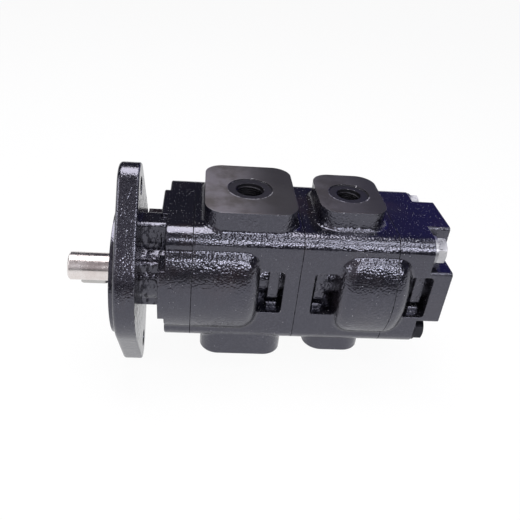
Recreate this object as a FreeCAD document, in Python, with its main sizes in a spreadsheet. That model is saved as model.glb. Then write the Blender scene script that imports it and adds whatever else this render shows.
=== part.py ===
import FreeCAD, Part
import math
import os
import Sketcher

# Tandem gear pump: two external gear sections on one drive line, in four cast iron housings.
# X runs from the drive shaft's end to the rear cover, Z is up, and the near side is -Y.
# The origin is on the drive axis, in the front face of the mounting flange.

PARTS_FOLDER = "parts"
FULL_TURN = 360.0
HALF_TURN = 180.0
FLANK_POINTS = 7
# How much closer together the flank points lie near the base circle.
FLANK_SPREAD = 1.5
# Flat edge distance, straight length between two end rounds, overlap of joined solids, all in mm.
FLATNESS = 0.0001
END_FLAT = 0.001
OVERLAP = 0.001
# The least volume that a feature adds or takes away, in cubic mm.
LEAST_CHANGE = 0.001
# Round face on a bolt head, as a share of the distance across its flats.
HEAD_FACE_SHARE = 0.48

# Every driving size in millimetres, degrees or pieces: name, value, what it is.
SIZES = [
    ("pilot_radius", "50.8", "round spigot in front of the flange"),
    ("pilot_height", "3.5", "spigot height"),
    ("flange_thickness", "16", "mounting flange"),
    ("flange_radius", "58", "round middle of the flange"),
    ("ear_radius", "17.3", "rounded ends of the flange"),
    ("ear_spacing", "146", "distance between the two mounting holes"),
    ("ear_hole_radius", "7.15", "mounting holes"),
    ("flange_front_round", "3", "rounded front rim of the flange"),
    ("flange_back_round", "1.5", "rounded back rim of the flange"),
    ("neck_length", "14.5", "neck between flange and front cover"),
    ("neck_side", "23", "neck face from the gear axis"),
    ("neck_half_height", "20", "neck above and below the axis"),
    ("neck_hub_radius", "26", "round core of the neck"),
    ("neck_rib_half", "10", "half the width of the neck's top rib"),
    ("neck_rib_top", "47", "top of the neck's rib"),
    ("neck_round", "3", "rounded edges of the neck"),
    ("band_step", "4.5", "raised band on the front cover's face"),
    ("band_half_height", "22", "half the height of that band"),
    ("riser_half_width", "20", "half the width of the raised strip up and down that face"),
    ("cover_round", "1.5", "rounded front edge of the front cover"),
    ("front_end_wall", "3", "wall ahead of the front journals"),
    ("gear_module", "3.5", "gear module"),
    ("gear_teeth", "12", "teeth on each gear"),
    ("pressure_angle", "25", "pressure angle of the teeth"),
    ("root_factor", "1.25", "tooth depth below the pitch circle, in modules"),
    ("root_fillet", "0.8", "fillet at the foot of a tooth"),
    ("tooth_thinning", "0.12", "taken off each tooth at the pitch circle for backlash"),
    ("front_gear_width", "38", "gears of the front section"),
    ("rear_gear_width", "28", "gears of the rear section"),
    ("tip_clearance", "0.3", "gear tip to housing bore"),
    ("side_clearance", "0.1", "gear face to wear plate"),
    ("side_wall", "2.2", "housing bore to flat side"),
    ("roof_wall", "25.2", "housing bore to flat top"),
    ("barrel_wall", "15", "housing bore to bulged side"),
    ("body_corner", "13", "rounded long edges of the housings"),
    ("barrel_half_height", "36", "half the height of the bulge"),
    ("barrel_corner", "15", "corners of the bulge's end, seen from the side"),
    ("barrel_round", "12.5", "rounded edges of the bulge"),
    ("barrel_foot", "5", "fillet from the bulge to the flat side"),
    ("barrel_overlap", "2", "bulge runs on past the gear chamber"),
    ("rear_barrel_length", "14", "bulge in the rear cover"),
    ("plate_thickness", "5.9", "wear plates beside the gears"),
    ("plate_clearance", "0.1", "wear plate to housing bore"),
    ("plate_hole_clearance", "0.3", "wear plate hole to journal"),
    ("relief_width", "8", "relief pocket in a wear plate, across"),
    ("relief_inner", "4.5", "relief pocket, start from the gear axes' plane"),
    ("relief_outer", "11", "relief pocket, end from the gear axes' plane"),
    ("relief_depth", "2", "relief pocket depth"),
    ("shaft_radius", "11.11", "drive shaft end"),
    ("shaft_length", "41", "drive shaft ahead of the flange"),
    ("shaft_chamfer", "1.2", "chamfer on shaft ends"),
    ("shaft_step_at", "2.5", "step to the seal land, ahead of the flange"),
    ("drive_journal_radius", "12", "front journal of the drive shaft"),
    ("journal_radius", "11", "all other journals"),
    ("running_clearance", "0.03", "journal to bush, radial"),
    ("bush_wall", "2", "wall of a bush"),
    ("bush_length", "20", "length of a bush"),
    ("seat_clearance", "0.02", "bush, pin or seal in its seat, radial"),
    ("journal_overrun", "1", "journal past its bush"),
    ("bore_overrun", "2", "bush bore past its bush"),
    ("shaft_passage_clearance", "1", "drive shaft in its passage, radial"),
    ("key_width", "6.35", "drive key, across and high"),
    ("key_length", "22", "drive key"),
    ("key_end", "8", "shaft end to key"),
    ("key_seat_depth", "3.2", "keyseat depth"),
    ("key_clearance", "0.02", "key in its seat"),
    ("seal_radius", "20", "shaft seal, outside"),
    ("seal_width", "7", "shaft seal, along the shaft"),
    ("seal_depth", "4", "seal's front face behind the spigot's face"),
    ("seal_skin", "1.6", "walls of the shaft seal"),
    ("lip_length", "4", "sealing lip"),
    ("lip_clearance", "0.05", "sealing lip to shaft, radial"),
    ("ring_thickness", "1.3", "seal's retaining ring"),
    ("ring_width", "3.4", "retaining ring, radial"),
    ("ring_groove_depth", "1.2", "retaining ring groove in the seal bore"),
    ("ring_gap", "9", "opening of the retaining ring"),
    ("ring_clearance", "0.1", "retaining ring in its groove"),
    ("coupling_half", "9.5", "half the length of the spline coupling"),
    ("coupling_gap", "2", "coupling to journal"),
    ("coupling_clearance", "1", "coupling in its passage, radial"),
    ("spline_outer", "8", "spline height from the axis"),
    ("spline_inner", "6.5", "spline core radius"),
    ("spline_width", "3.8", "width of one spline"),
    ("spline_count", "6", "splines"),
    ("spline_clearance", "0.05", "spline to coupling"),
    ("spline_end_gap", "0.5", "spline end to the joint plane"),
    ("window_overlap", "0.5", "windows cut into the bulge's end"),
    ("window_web", "11.5", "window to the middle joint"),
    ("window_half_height", "19.5", "half the height of a window"),
    ("window_depth", "19", "depth of a window"),
    ("window_round", "3.5", "rounded corners of a window"),
    ("rear_window_length", "18.5", "rear cover's window"),
    ("boss_wall", "3", "bearing boss outside a bush bore"),
    ("rib_setback", "7.5", "flat side to the upright rib in a window"),
    ("rib_foot", "11", "upright rib's lower end, below the gear axes' plane"),
    ("rib_round", "2", "rounded lower end of the rib"),
    ("rib_root", "1", "rib runs on into the casting"),
    ("stub_top", "14.5", "stub below the rib, its top below the gear axes' plane"),
    ("rib_length", "8", "upright rib, along the axis"),
    ("rib_gap", "3", "rib to the window's end"),
    ("pad_height", "15", "port pads above the flat top"),
    ("pad_round", "15", "rounded corners of a port pad"),
    ("pad_foot", "4", "fillet at the foot of a port pad"),
    ("front_port_offset", "40", "front ports ahead of the middle joint"),
    ("rear_port_offset", "38.5", "rear ports behind the middle joint"),
    ("front_top_pad_length", "70", "front top pad, along X"),
    ("front_top_pad_width", "82", "front top pad, across"),
    ("front_low_pad_length", "67", "front bottom pad, along X"),
    ("front_low_pad_width", "92", "front bottom pad, across"),
    ("rear_top_pad_length", "51.5", "rear top pad, along X"),
    ("rear_top_pad_width", "66", "rear top pad, across"),
    ("rear_low_pad_length", "48", "rear bottom pad, along X"),
    ("rear_low_pad_width", "76", "rear bottom pad, across"),
    ("front_top_thread", "11.11", "front pressure port thread"),
    ("front_low_thread", "16.67", "front suction port thread"),
    ("rear_top_thread", "9.53", "rear pressure port thread"),
    ("rear_low_thread", "13.49", "rear suction port thread"),
    ("spotface_margin", "6.5", "spot face outside a port thread"),
    ("spotface_depth", "1", "spot face depth"),
    ("thread_depth", "18", "port thread, from the pad's face"),
    ("thread_step", "2", "port passage inside the thread radius"),
    ("passage_end", "14.5", "port passage stops this far from the axes' plane"),
    ("cavity_half_width", "8", "cast cavity between the gears, half its width"),
    ("cavity_half_height", "24", "cast cavity between the gears, half its height"),
    ("bolt_radius", "6", "through bolts"),
    ("bolt_inset", "12.5", "bolt axis from the housing's flat faces"),
    ("bolt_hole_clearance", "0.5", "bolt in its hole, radial"),
    ("thread_fit", "0.02", "bolt in its tapped hole, radial"),
    ("thread_engagement", "15", "bolt inside the front cover"),
    ("tap_overrun", "2", "tapped hole past the bolt's end"),
    ("head_across_flats", "19", "bolt head"),
    ("head_height", "7.5", "bolt head"),
    ("washer_radius", "11.5", "bolt washer"),
    ("washer_thickness", "2.5", "bolt washer"),
    ("cover_end_wall", "5.5", "rear cover behind the journals"),
    ("arm_depth", "18", "cross on the rear cover"),
    ("arm_half_height", "24", "half the height of the level arm"),
    ("arm_half_width", "22.5", "half the width of the upright arm"),
    ("arm_round", "2.5", "rounded edges of the cross"),
    ("seal_ring_radius", "27.2", "inside of the joint seals round the chambers"),
    ("middle_seal_radius", "16", "inside of the middle joint seal"),
    ("seal_ring_width", "2.8", "joint seal, across"),
    ("seal_ring_depth", "2", "joint seal, along X"),
    ("seal_ring_clearance", "0.15", "joint seal in its groove, each side"),
    ("dowel_radius", "3", "dowel pins"),
    ("dowel_half", "7", "half the length of a dowel pin"),
    ("dowel_side", "6", "dowel axis from the flat side"),
    ("dowel_height", "28", "dowel axis from the axes' plane"),
    ("dowel_overrun", "0.5", "dowel hole past the dowel"),
]


class Size:
    """A length: its number, and the sheet expression that gives it."""

    def __init__(self, value, text):
        self.value = value
        self.text = text

    def join(self, other, value, sign, swap=False):
        pair = (other.text, self.text) if swap else (self.text, other.text)
        return Size(value, "(%s %s %s)" % (pair[0], sign, pair[1]))

    def __add__(self, other):
        other = as_size(other)
        return self.join(other, self.value + other.value, "+")

    def __sub__(self, other):
        other = as_size(other)
        return self.join(other, self.value - other.value, "-")

    def __mul__(self, other):
        other = as_size(other)
        return self.join(other, self.value * other.value, "*")

    def __truediv__(self, other):
        other = as_size(other)
        return self.join(other, self.value / other.value, "/")

    def __neg__(self):
        return as_size(-1) * self


def as_size(thing):
    return thing if isinstance(thing, Size) else Size(float(thing), repr(float(thing)))


doc = FreeCAD.newDocument("TandemGearPump")
sheet = doc.addObject("Spreadsheet::Sheet", "Sizes")
for row, (alias, number, note) in enumerate(SIZES, start=1):
    sheet.set("A%d" % row, alias)
    sheet.set("B%d" % row, number)
    sheet.setAlias("B%d" % row, alias)
    sheet.set("C%d" % row, note)
doc.recompute()


def size(alias):
    return Size(float(sheet.get(alias)), "Sizes." + alias)


ZERO = as_size(0)
centre_distance = size("gear_module") * size("gear_teeth")
pitch_radius = centre_distance / 2
tip_radius = pitch_radius + size("gear_module")
middle = centre_distance / 2
bore_radius = tip_radius + size("tip_clearance")
side = bore_radius + size("side_wall")
near_side = -side
far_side = centre_distance + side
half_height = bore_radius + size("roof_wall")
barrel_radius = middle + bore_radius + size("barrel_wall")

# Planes along the shaft, from the flange back to the rear face.
plate_room = size("plate_thickness") + size("side_clearance")
bearing_wall = size("bush_length") + size("journal_overrun") + size("coupling_gap") + size("coupling_half")
bush_bore_depth = size("bush_length") + size("bore_overrun")
journal_length = size("bush_length") + size("journal_overrun")
band_face = size("flange_thickness") + size("neck_length")
cover_face = band_face + size("band_step")
joint_1 = band_face + size("front_end_wall") + bush_bore_depth
chamber_1_end = joint_1 + size("front_gear_width") + plate_room * 2
joint_2 = chamber_1_end + bearing_wall
chamber_2_start = joint_2 + bearing_wall
joint_3 = chamber_2_start + size("rear_gear_width") + plate_room * 2
rear_seat = joint_3 + bush_bore_depth + size("cover_end_wall")
rear_face = rear_seat + size("arm_depth")

# Bush and boss radii.
bush_radius = size("journal_radius") + size("running_clearance") + size("bush_wall")
drive_bush_radius = size("drive_journal_radius") + size("running_clearance") + size("bush_wall")
bush_bore = bush_radius + size("seat_clearance")
drive_bush_bore = drive_bush_radius + size("seat_clearance")
boss_radius = bush_bore + size("boss_wall")
bolt_y = near_side + size("bolt_inset")
bolt_z = half_height - size("bolt_inset")
dowel_y = near_side + size("dowel_side")

# The planes a sketch can lie on, and which way its normal points along the third axis.
PLANES = {"yz": ("YZ_Plane", 1), "xz": ("XZ_Plane", -1), "xy": ("XY_Plane", 1)}


def bind(thing, prop, amount):
    """Tie one property to the sheet."""
    thing.setExpression(prop, as_size(amount).text)


def new_body(name):
    body = doc.addObject("PartDesign::Body", name)
    body.Label = name
    return body


def new_sketch(body, name, plane, at, across=None):
    """A sketch parallel to an origin plane; at is its place along the plane's axis."""
    role, sign = PLANES[plane]
    sketch = body.newObject("Sketcher::SketchObject", body.Name + "_" + name)
    origin = [f for f in body.Origin.OriginFeatures if f.Role == role]
    sketch.AttachmentSupport = [(origin[0], "")]
    sketch.MapMode = "FlatFace"
    bind(sketch, "AttachmentOffset.Base.z", as_size(at) * sign)
    if across is not None:
        bind(sketch, "AttachmentOffset.Base.y", across)
    return sketch


def constrain(sketch, kind, places, amount):
    """A driving dimension tied to the sheet."""
    index = sketch.addConstraint(Sketcher.Constraint(kind, *places, amount.value))
    sketch.setExpression("Constraints[%d]" % index, amount.text)


def pin(sketch, geo, pos, u=None, v=None):
    """Hold a point at u and v; a plain zero puts it on the sketch's axis."""
    for amount, kind, axis in ((u, "DistanceX", -2), (v, "DistanceY", -1)):
        if amount is None:
            continue
        if amount is ZERO:
            sketch.addConstraint(Sketcher.Constraint("PointOnObject", geo, pos, axis))
        else:
            constrain(sketch, kind, (-1, 1, geo, pos), amount)


def circle(sketch, u, v, radius):
    centre = FreeCAD.Vector(u.value, v.value, 0)
    geo = sketch.addGeometry(Part.Circle(centre, FreeCAD.Vector(0, 0, 1), radius.value))
    pin(sketch, geo, 3, u, v)
    constrain(sketch, "Radius", (geo,), radius)
    return geo


def arc(sketch, centre, radius, first, last):
    """An arc from first to last, counter-clockwise."""
    round_part = Part.Circle(centre, FreeCAD.Vector(0, 0, 1), radius)
    begin = math.atan2(first.y - centre.y, first.x - centre.x)
    end = math.atan2(last.y - centre.y, last.x - centre.x)
    return sketch.addGeometry(Part.ArcOfCircle(round_part, begin, end))


def outline(sketch, corners):
    """A closed outline of level and upright lines, counter-clockwise or clockwise.
    A corner is (u, v), or (u, v, "round", r), or (u, v, "chamfer", c)."""
    count = len(corners)
    points = [FreeCAD.Vector(c[0].value, c[1].value, 0) for c in corners]
    cuts = [c[3].value if len(c) > 2 else 0.0 for c in corners]
    ways = [(points[(i + 1) % count] - points[i]).normalize() for i in range(count)]
    lines = []
    for i in range(count):
        start = points[i] + ways[i] * cuts[i]
        end = points[(i + 1) % count] - ways[i] * cuts[(i + 1) % count]
        line = sketch.addGeometry(Part.LineSegment(start, end))
        lines.append(line)
        level = abs(ways[i].x) > abs(ways[i].y)
        sketch.addConstraint(Sketcher.Constraint("Horizontal" if level else "Vertical", line))
        if level:
            pin(sketch, line, 1, v=corners[i][1])
        else:
            pin(sketch, line, 1, u=corners[i][0])
    for i in range(count):
        before, after = lines[i - 1], lines[i]
        if cuts[i] == 0.0:
            sketch.addConstraint(Sketcher.Constraint("Coincident", before, 2, after, 1))
            continue
        first = points[i] - ways[i - 1] * cuts[i]
        last = points[i] + ways[i] * cuts[i]
        if corners[i][2] == "chamfer":
            slope = sketch.addGeometry(Part.LineSegment(first, last))
            sketch.addConstraint(Sketcher.Constraint("Coincident", before, 2, slope, 1))
            sketch.addConstraint(Sketcher.Constraint("Coincident", slope, 2, after, 1))
            run = last - first
            constrain(sketch, "DistanceX", (slope, 1, slope, 2), corners[i][3] * math.copysign(1, run.x))
            constrain(sketch, "DistanceY", (slope, 1, slope, 2), corners[i][3] * math.copysign(1, run.y))
            continue
        centre = first + ways[i] * cuts[i]
        left_turn = ways[i - 1].cross(ways[i]).z > 0
        if left_turn:
            bend = arc(sketch, centre, cuts[i], first, last)
        else:
            bend = arc(sketch, centre, cuts[i], last, first)
        sketch.addConstraint(Sketcher.Constraint("Tangent", before, 2, bend, 1 if left_turn else 2))
        sketch.addConstraint(Sketcher.Constraint("Tangent", bend, 2 if left_turn else 1, after, 1))
        constrain(sketch, "Radius", (bend,), corners[i][3])


def rectangle(sketch, u0, u1, v0, v1, radius=None):
    extra = () if radius is None else ("round", radius)
    outline(sketch, [(u0, v0) + extra, (u1, v0) + extra, (u1, v1) + extra, (u0, v1) + extra])


def slot(sketch, u0, u1, radius):
    """A stadium along the level axis, round the points u0 and u1."""
    a, b, r = u0.value, u1.value, radius.value
    low = sketch.addGeometry(Part.LineSegment(FreeCAD.Vector(a, -r, 0), FreeCAD.Vector(b, -r, 0)))
    top = sketch.addGeometry(Part.LineSegment(FreeCAD.Vector(b, r, 0), FreeCAD.Vector(a, r, 0)))
    right = arc(sketch, FreeCAD.Vector(b, 0, 0), r, FreeCAD.Vector(b, -r, 0), FreeCAD.Vector(b, r, 0))
    left = arc(sketch, FreeCAD.Vector(a, 0, 0), r, FreeCAD.Vector(a, r, 0), FreeCAD.Vector(a, -r, 0))
    for before, after in ((low, right), (right, top), (top, left), (left, low)):
        sketch.addConstraint(Sketcher.Constraint("Tangent", before, 2, after, 1))
    pin(sketch, right, 3, u1, ZERO)
    pin(sketch, left, 3, u0, ZERO)
    constrain(sketch, "Radius", (left,), radius)


def figure_eight(sketch, radius):
    """Two overlapping circles round the gear axes, as one outline."""
    span, r = centre_distance.value, radius.value
    cusp = math.sqrt(r * r - span * span / 4)
    top = FreeCAD.Vector(span / 2, cusp, 0)
    low = FreeCAD.Vector(span / 2, -cusp, 0)
    near = arc(sketch, FreeCAD.Vector(0, 0, 0), r, top, low)
    far = arc(sketch, FreeCAD.Vector(span, 0, 0), r, low, top)
    sketch.addConstraint(Sketcher.Constraint("Coincident", near, 2, far, 1))
    sketch.addConstraint(Sketcher.Constraint("Coincident", far, 2, near, 1))
    pin(sketch, near, 3, ZERO, ZERO)
    pin(sketch, far, 3, centre_distance, ZERO)
    constrain(sketch, "Radius", (near,), radius)
    constrain(sketch, "Radius", (far,), radius)


def flange_outline(sketch):
    """A round middle, two round ears and the four lines that touch them."""
    big, ear, rise = size("flange_radius").value, size("ear_radius").value, size("ear_spacing").value / 2
    lean = math.asin((big - ear) / rise)
    across, up = math.cos(lean), math.sin(lean)
    corner = {}
    for sx in (1, -1):
        for sy in (1, -1):
            corner[sx, sy, "big"] = FreeCAD.Vector(sx * big * across, sy * big * up, 0)
            corner[sx, sy, "ear"] = FreeCAD.Vector(sx * ear * across, sy * (rise + ear * up), 0)
    zero = FreeCAD.Vector(0, 0, 0)
    right = arc(sketch, zero, big, corner[1, -1, "big"], corner[1, 1, "big"])
    line_1 = sketch.addGeometry(Part.LineSegment(corner[1, 1, "big"], corner[1, 1, "ear"]))
    top = arc(sketch, FreeCAD.Vector(0, rise, 0), ear, corner[1, 1, "ear"], corner[-1, 1, "ear"])
    line_2 = sketch.addGeometry(Part.LineSegment(corner[-1, 1, "ear"], corner[-1, 1, "big"]))
    left = arc(sketch, zero, big, corner[-1, 1, "big"], corner[-1, -1, "big"])
    line_3 = sketch.addGeometry(Part.LineSegment(corner[-1, -1, "big"], corner[-1, -1, "ear"]))
    low = arc(sketch, FreeCAD.Vector(0, -rise, 0), ear, corner[-1, -1, "ear"], corner[1, -1, "ear"])
    line_4 = sketch.addGeometry(Part.LineSegment(corner[1, -1, "ear"], corner[1, -1, "big"]))
    loop = (right, line_1, top, line_2, left, line_3, low, line_4)
    for before, after in zip(loop, loop[1:] + loop[:1]):
        sketch.addConstraint(Sketcher.Constraint("Tangent", before, 2, after, 1))
    for middle_arc in (right, left):
        pin(sketch, middle_arc, 3, ZERO, ZERO)
        constrain(sketch, "Radius", (middle_arc,), size("flange_radius"))
    for ear_arc, sign in ((top, 1), (low, -1)):
        pin(sketch, ear_arc, 3, ZERO, size("ear_spacing") / 2 * sign)
        constrain(sketch, "Radius", (ear_arc,), size("ear_radius"))


def volume_of(body):
    return body.Shape.Volume if body.Tip is not None and not body.Shape.isNull() else 0.0


def check_change(body, before, sign, name):
    """Stop if a feature added or took away nothing."""
    doc.recompute()
    if (volume_of(body) - before) * sign <= LEAST_CHANGE:
        raise RuntimeError("%s of %s changed nothing" % (name, body.Name))


def pad(body, sketch, length, towards=1):
    """Add material along the sketch plane's axis."""
    before = volume_of(body)
    feature = body.newObject("PartDesign::Pad", sketch.Name + "_pad")
    feature.Profile = sketch
    sign = [s for role, s in PLANES.values() if sketch.AttachmentSupport[0][0].Role == role][0]
    feature.Reversed = towards * sign < 0
    bind(feature, "Length", length)
    sketch.Visibility = False
    check_change(body, before, 1, feature.Name)
    return feature


def pocket(body, sketch, length=None, towards=1):
    """Cut along the sketch plane's axis; no length cuts through everything both ways."""
    before = volume_of(body)
    feature = body.newObject("PartDesign::Pocket", sketch.Name + "_cut")
    feature.Profile = sketch
    sign = [s for role, s in PLANES.values() if sketch.AttachmentSupport[0][0].Role == role][0]
    if length is None:
        feature.Type = "ThroughAll"
        feature.Midplane = True
    else:
        feature.Reversed = towards * sign > 0
        bind(feature, "Length", length)
    feature.Refine = False
    sketch.Visibility = False
    check_change(body, before, -1, feature.Name)
    return feature


def revolve(body, sketch):
    """Turn an outline about the sketch's level axis."""
    before = volume_of(body)
    feature = body.newObject("PartDesign::Revolution", sketch.Name + "_turn")
    feature.Profile = sketch
    feature.ReferenceAxis = (sketch, ["H_Axis"])
    feature.Angle = FULL_TURN
    sketch.Visibility = False
    check_change(body, before, 1, feature.Name)
    return feature


def groove(body, sketch, axis="H_Axis"):
    """Cut a turned shape away about one of the sketch's axes."""
    before = volume_of(body)
    feature = body.newObject("PartDesign::Groove", sketch.Name + "_ring")
    feature.Profile = sketch
    feature.ReferenceAxis = (sketch, [axis])
    feature.Angle = FULL_TURN
    sketch.Visibility = False
    check_change(body, before, -1, feature.Name)
    return feature


def polar(body, feature, sketch, count):
    """Repeat one feature round the sketch's normal."""
    pattern = body.newObject("PartDesign::PolarPattern", feature.Name + "_ring")
    pattern.Originals = [feature]
    pattern.Axis = (sketch, ["N_Axis"])
    pattern.Angle = FULL_TURN
    bind(pattern, "Occurrences", count)
    body.Tip = pattern
    doc.recompute()
    return pattern


def fillet(body, base, chosen, radius):
    """Round the edges of base for which chosen(edge) is true."""
    names = ["Edge%d" % (i + 1) for i, edge in enumerate(base.Shape.Edges) if chosen(edge)]
    feature = body.newObject("PartDesign::Fillet", base.Name + "_round")
    feature.Base = (base, names)
    bind(feature, "Radius", radius)
    body.Tip = feature
    doc.recompute()
    return feature


def mirrored_y(u):
    """The same distance on the far side of the pump."""
    return centre_distance - u


def body_block(body, start, length):
    """The plain housing section, rounded along its four long edges."""
    sketch = new_sketch(body, "block", "yz", start)
    rectangle(sketch, near_side, far_side, -half_height, half_height, size("body_corner"))
    return pad(body, sketch, length)


def barrel(body, start, end, rounded=None):
    """The round bulge on both sides, cut level above and below; rounded is its free end.
    A rounded bulge is made longer than it is and then cut off in the joint."""
    level = size("barrel_half_height")
    beyond = barrel_radius * 2
    run_on = size("barrel_corner") * 2
    first = start - run_on if rounded == "end" else start
    last = end + run_on if rounded == "start" else end
    corner = ("round", size("barrel_corner"))
    left = corner if rounded == "start" else ()
    right = corner if rounded == "end" else ()
    sketch = new_sketch(body, "barrel", "xz", middle - barrel_radius)
    outline(sketch, [(first, -level) + left, (last, -level) + right,
                     (last, level) + right, (first, level) + left])
    pad(body, sketch, barrel_radius * 2)
    sketch = new_sketch(body, "barrel_skin", "xy", ZERO, across=middle)
    outline(sketch, [(first, barrel_radius), (last, barrel_radius), (last, beyond), (first, beyond)])
    skin = groove(body, sketch)
    kept = {"start": (last,), "end": (first,), None: (first, last)}[rounded]
    radius = barrel_radius.value

    def on_skin(edge):
        """True for an edge that lies on the bulge's skin, away from the ends that meet other castings."""
        spots = edge.discretize(3)
        reach = [math.hypot(spot.y - middle.value, spot.z) for spot in spots]
        on_radius = all(abs(r - radius) < FLATNESS for r in reach)
        return on_radius and all(abs(spots[1].x - end.value) > FLATNESS for end in kept)

    fillet(body, skin, on_skin, size("barrel_round"))
    if rounded is None:
        return
    sketch = new_sketch(body, "barrel_joint", "xz", ZERO)
    spare = (first, start) if rounded == "end" else (end, last)
    rectangle(sketch, spare[0], spare[1], -beyond, beyond)
    pocket(body, sketch)


def barrel_foot(body, block, start, end):
    """Blend the bulge into the flat sides, between start and end."""
    limit = size("barrel_half_height").value + FLATNESS

    def at_foot(edge):
        box = edge.BoundBox
        sides = (near_side.value, far_side.value)
        flat = any(abs(box.YMin - side) + abs(box.YMax - side) < FLATNESS for side in sides)
        inside = box.XMin > start.value - FLATNESS and box.XMax < end.value + FLATNESS
        return flat and inside and max(abs(box.ZMin), abs(box.ZMax)) < limit

    return fillet(body, block, at_foot, size("barrel_foot"))


def trim(body, name, start, end, level):
    """Cut away what lies above and below a level."""
    sketch = new_sketch(body, name, "xz", ZERO)
    beyond = barrel_radius * 2
    rectangle(sketch, start, end, level, beyond)
    rectangle(sketch, start, end, -beyond, -level)
    pocket(body, sketch)


def axis_circles(sketch, near_radius, far_radius=None):
    """A circle round each gear axis."""
    circle(sketch, ZERO, ZERO, near_radius)
    circle(sketch, centre_distance, ZERO, far_radius or near_radius)


def windows(body, start, end, ribbed_end):
    """A pocket in each flat side, open to the bulge's end, with the bearing boss and its rib in it."""
    level = size("window_half_height")
    outside = size("barrel_foot")
    depth = size("window_depth") + outside
    sketch = new_sketch(body, "windows", "xz", near_side - outside)
    rectangle(sketch, start, end, -level, level, size("window_round"))
    pocket(body, sketch, depth, towards=1)
    sketch = new_sketch(body, "far_windows", "xz", far_side + outside)
    rectangle(sketch, start, end, -level, level, size("window_round"))
    pocket(body, sketch, depth, towards=-1)
    sketch = new_sketch(body, "bosses", "yz", start)
    axis_circles(sketch, boss_radius)
    pad(body, sketch, end - start)
    rib_start = start + size("rib_gap")
    if ribbed_end == "end":
        rib_start = end - size("rib_gap") - size("rib_length")
    sketch = new_sketch(body, "ribs", "yz", rib_start)
    rib_sections(sketch, near_side + size("rib_setback"), near_side + size("window_depth") + size("rib_root"))
    rib_sections(sketch, far_side - size("rib_setback"), far_side - size("window_depth") - size("rib_root"))
    pad(body, sketch, size("rib_length"))


def rib_sections(sketch, front, back):
    """The upright rib of one window, and the stub below it, cut across."""
    level, root = size("window_half_height"), size("rib_root")
    corner = ("round", size("rib_round"))
    foot, stub = -size("rib_foot"), -size("stub_top")
    outline(sketch, [(front, foot) + corner, (back, foot), (back, level + root), (front, level + root)])
    outline(sketch, [(front, stub) + corner, (back, stub), (back, -level - root), (front, -level - root)])


def bolt_places():
    return [(y, z) for y in (bolt_y, mirrored_y(bolt_y)) for z in (bolt_z, -bolt_z)]


def dowel_places():
    return [(dowel_y, size("dowel_height")), (mirrored_y(dowel_y), -size("dowel_height"))]


def round_holes(body, name, plane_at, places, radius, depth=None, towards=1):
    sketch = new_sketch(body, name, "yz", plane_at)
    for u, v in places:
        circle(sketch, u, v, radius)
    pocket(body, sketch, depth, towards)


def dowel_holes(body, name, joint, towards):
    depth = size("dowel_half") + size("dowel_overrun")
    radius = size("dowel_radius") + size("seat_clearance")
    round_holes(body, name, joint, dowel_places(), radius, depth, towards)


def seal_groove(body, joint, radius, towards):
    sketch = new_sketch(body, "seal_groove", "yz", joint)
    slack = size("seal_ring_clearance")
    slot(sketch, ZERO, centre_distance, radius - slack)
    slot(sketch, ZERO, centre_distance, radius + size("seal_ring_width") + slack)
    pocket(body, sketch, size("seal_ring_depth"), towards)


def wall_gap(spot, centre, half_length, half_width):
    """How far a point lies from a port pad's wall."""
    radius = size("pad_round").value
    u = abs(spot.x - centre.value) - half_length.value + radius
    v = abs(spot.y - middle.value) - half_width.value + radius
    return abs(math.hypot(max(u, 0), max(v, 0)) + min(max(u, v), 0) - radius)


def port(body, name, centre, top, length, width, thread):
    """A port pad on the top or underside with its spot face, thread bore and passage."""
    face = half_height + size("pad_height")
    inner = half_height - size("body_corner")
    way = 1 if top else -1
    sketch = new_sketch(body, name + "_pad", "xy", inner * way)
    half_length = length / 2
    half_width = width / 2
    rectangle(sketch, centre - half_length, centre + half_length,
              middle - half_width, middle + half_width, size("pad_round"))
    base = pad(body, sketch, face - inner, way)

    def at_foot(edge):
        """True for an edge where the pad's wall meets the housing."""
        gaps = [wall_gap(spot, centre, half_length, half_width) for spot in edge.discretize(3)]
        heights = [vertex.Point.z * way for vertex in edge.Vertexes]
        low_enough = max(heights) < half_height.value + FLATNESS
        return max(gaps) < FLATNESS and inner.value < min(heights) and low_enough

    fillet(body, base, at_foot, size("pad_foot"))
    sketch = new_sketch(body, name + "_bore", "xz", middle)
    spot, depth = size("spotface_margin"), size("spotface_depth")
    thread_floor = (face - size("thread_depth")) * way
    passage = thread - size("thread_step")
    outline(sketch, [(centre, face * way), (centre, size("passage_end") * way),
                     (centre + passage, size("passage_end") * way), (centre + passage, thread_floor),
                     (centre + thread, thread_floor), (centre + thread, (face - depth) * way),
                     (centre + thread + spot, (face - depth) * way), (centre + thread + spot, face * way)])
    axis = sketch.addGeometry(Part.LineSegment(FreeCAD.Vector(centre.value, 0, 0),
                                               FreeCAD.Vector(centre.value, half_height.value, 0)), True)
    sketch.addConstraint(Sketcher.Constraint("Vertical", axis))
    pin(sketch, axis, 1, centre, ZERO)
    constrain(sketch, "DistanceY", (axis, 1, axis, 2), half_height)
    groove(body, sketch, "Axis0")


def gear_chamber(body, start, end):
    """The two gear bores and the cast cavity that joins both ports to them."""
    sketch = new_sketch(body, "chamber", "yz", start)
    figure_eight(sketch, bore_radius)
    pocket(body, sketch, end - start)
    sketch = new_sketch(body, "cavity", "xy", -size("cavity_half_height"))
    half = size("cavity_half_width")
    rectangle(sketch, start + plate_room, end - plate_room, middle - half, middle + half)
    pocket(body, sketch, size("cavity_half_height") * 2)


def on_rim(edge, x):
    """True for an edge that lies flat in the plane at x."""
    box = edge.BoundBox
    return abs(box.XMin - x) < FLATNESS and abs(box.XMax - x) < FLATNESS


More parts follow.
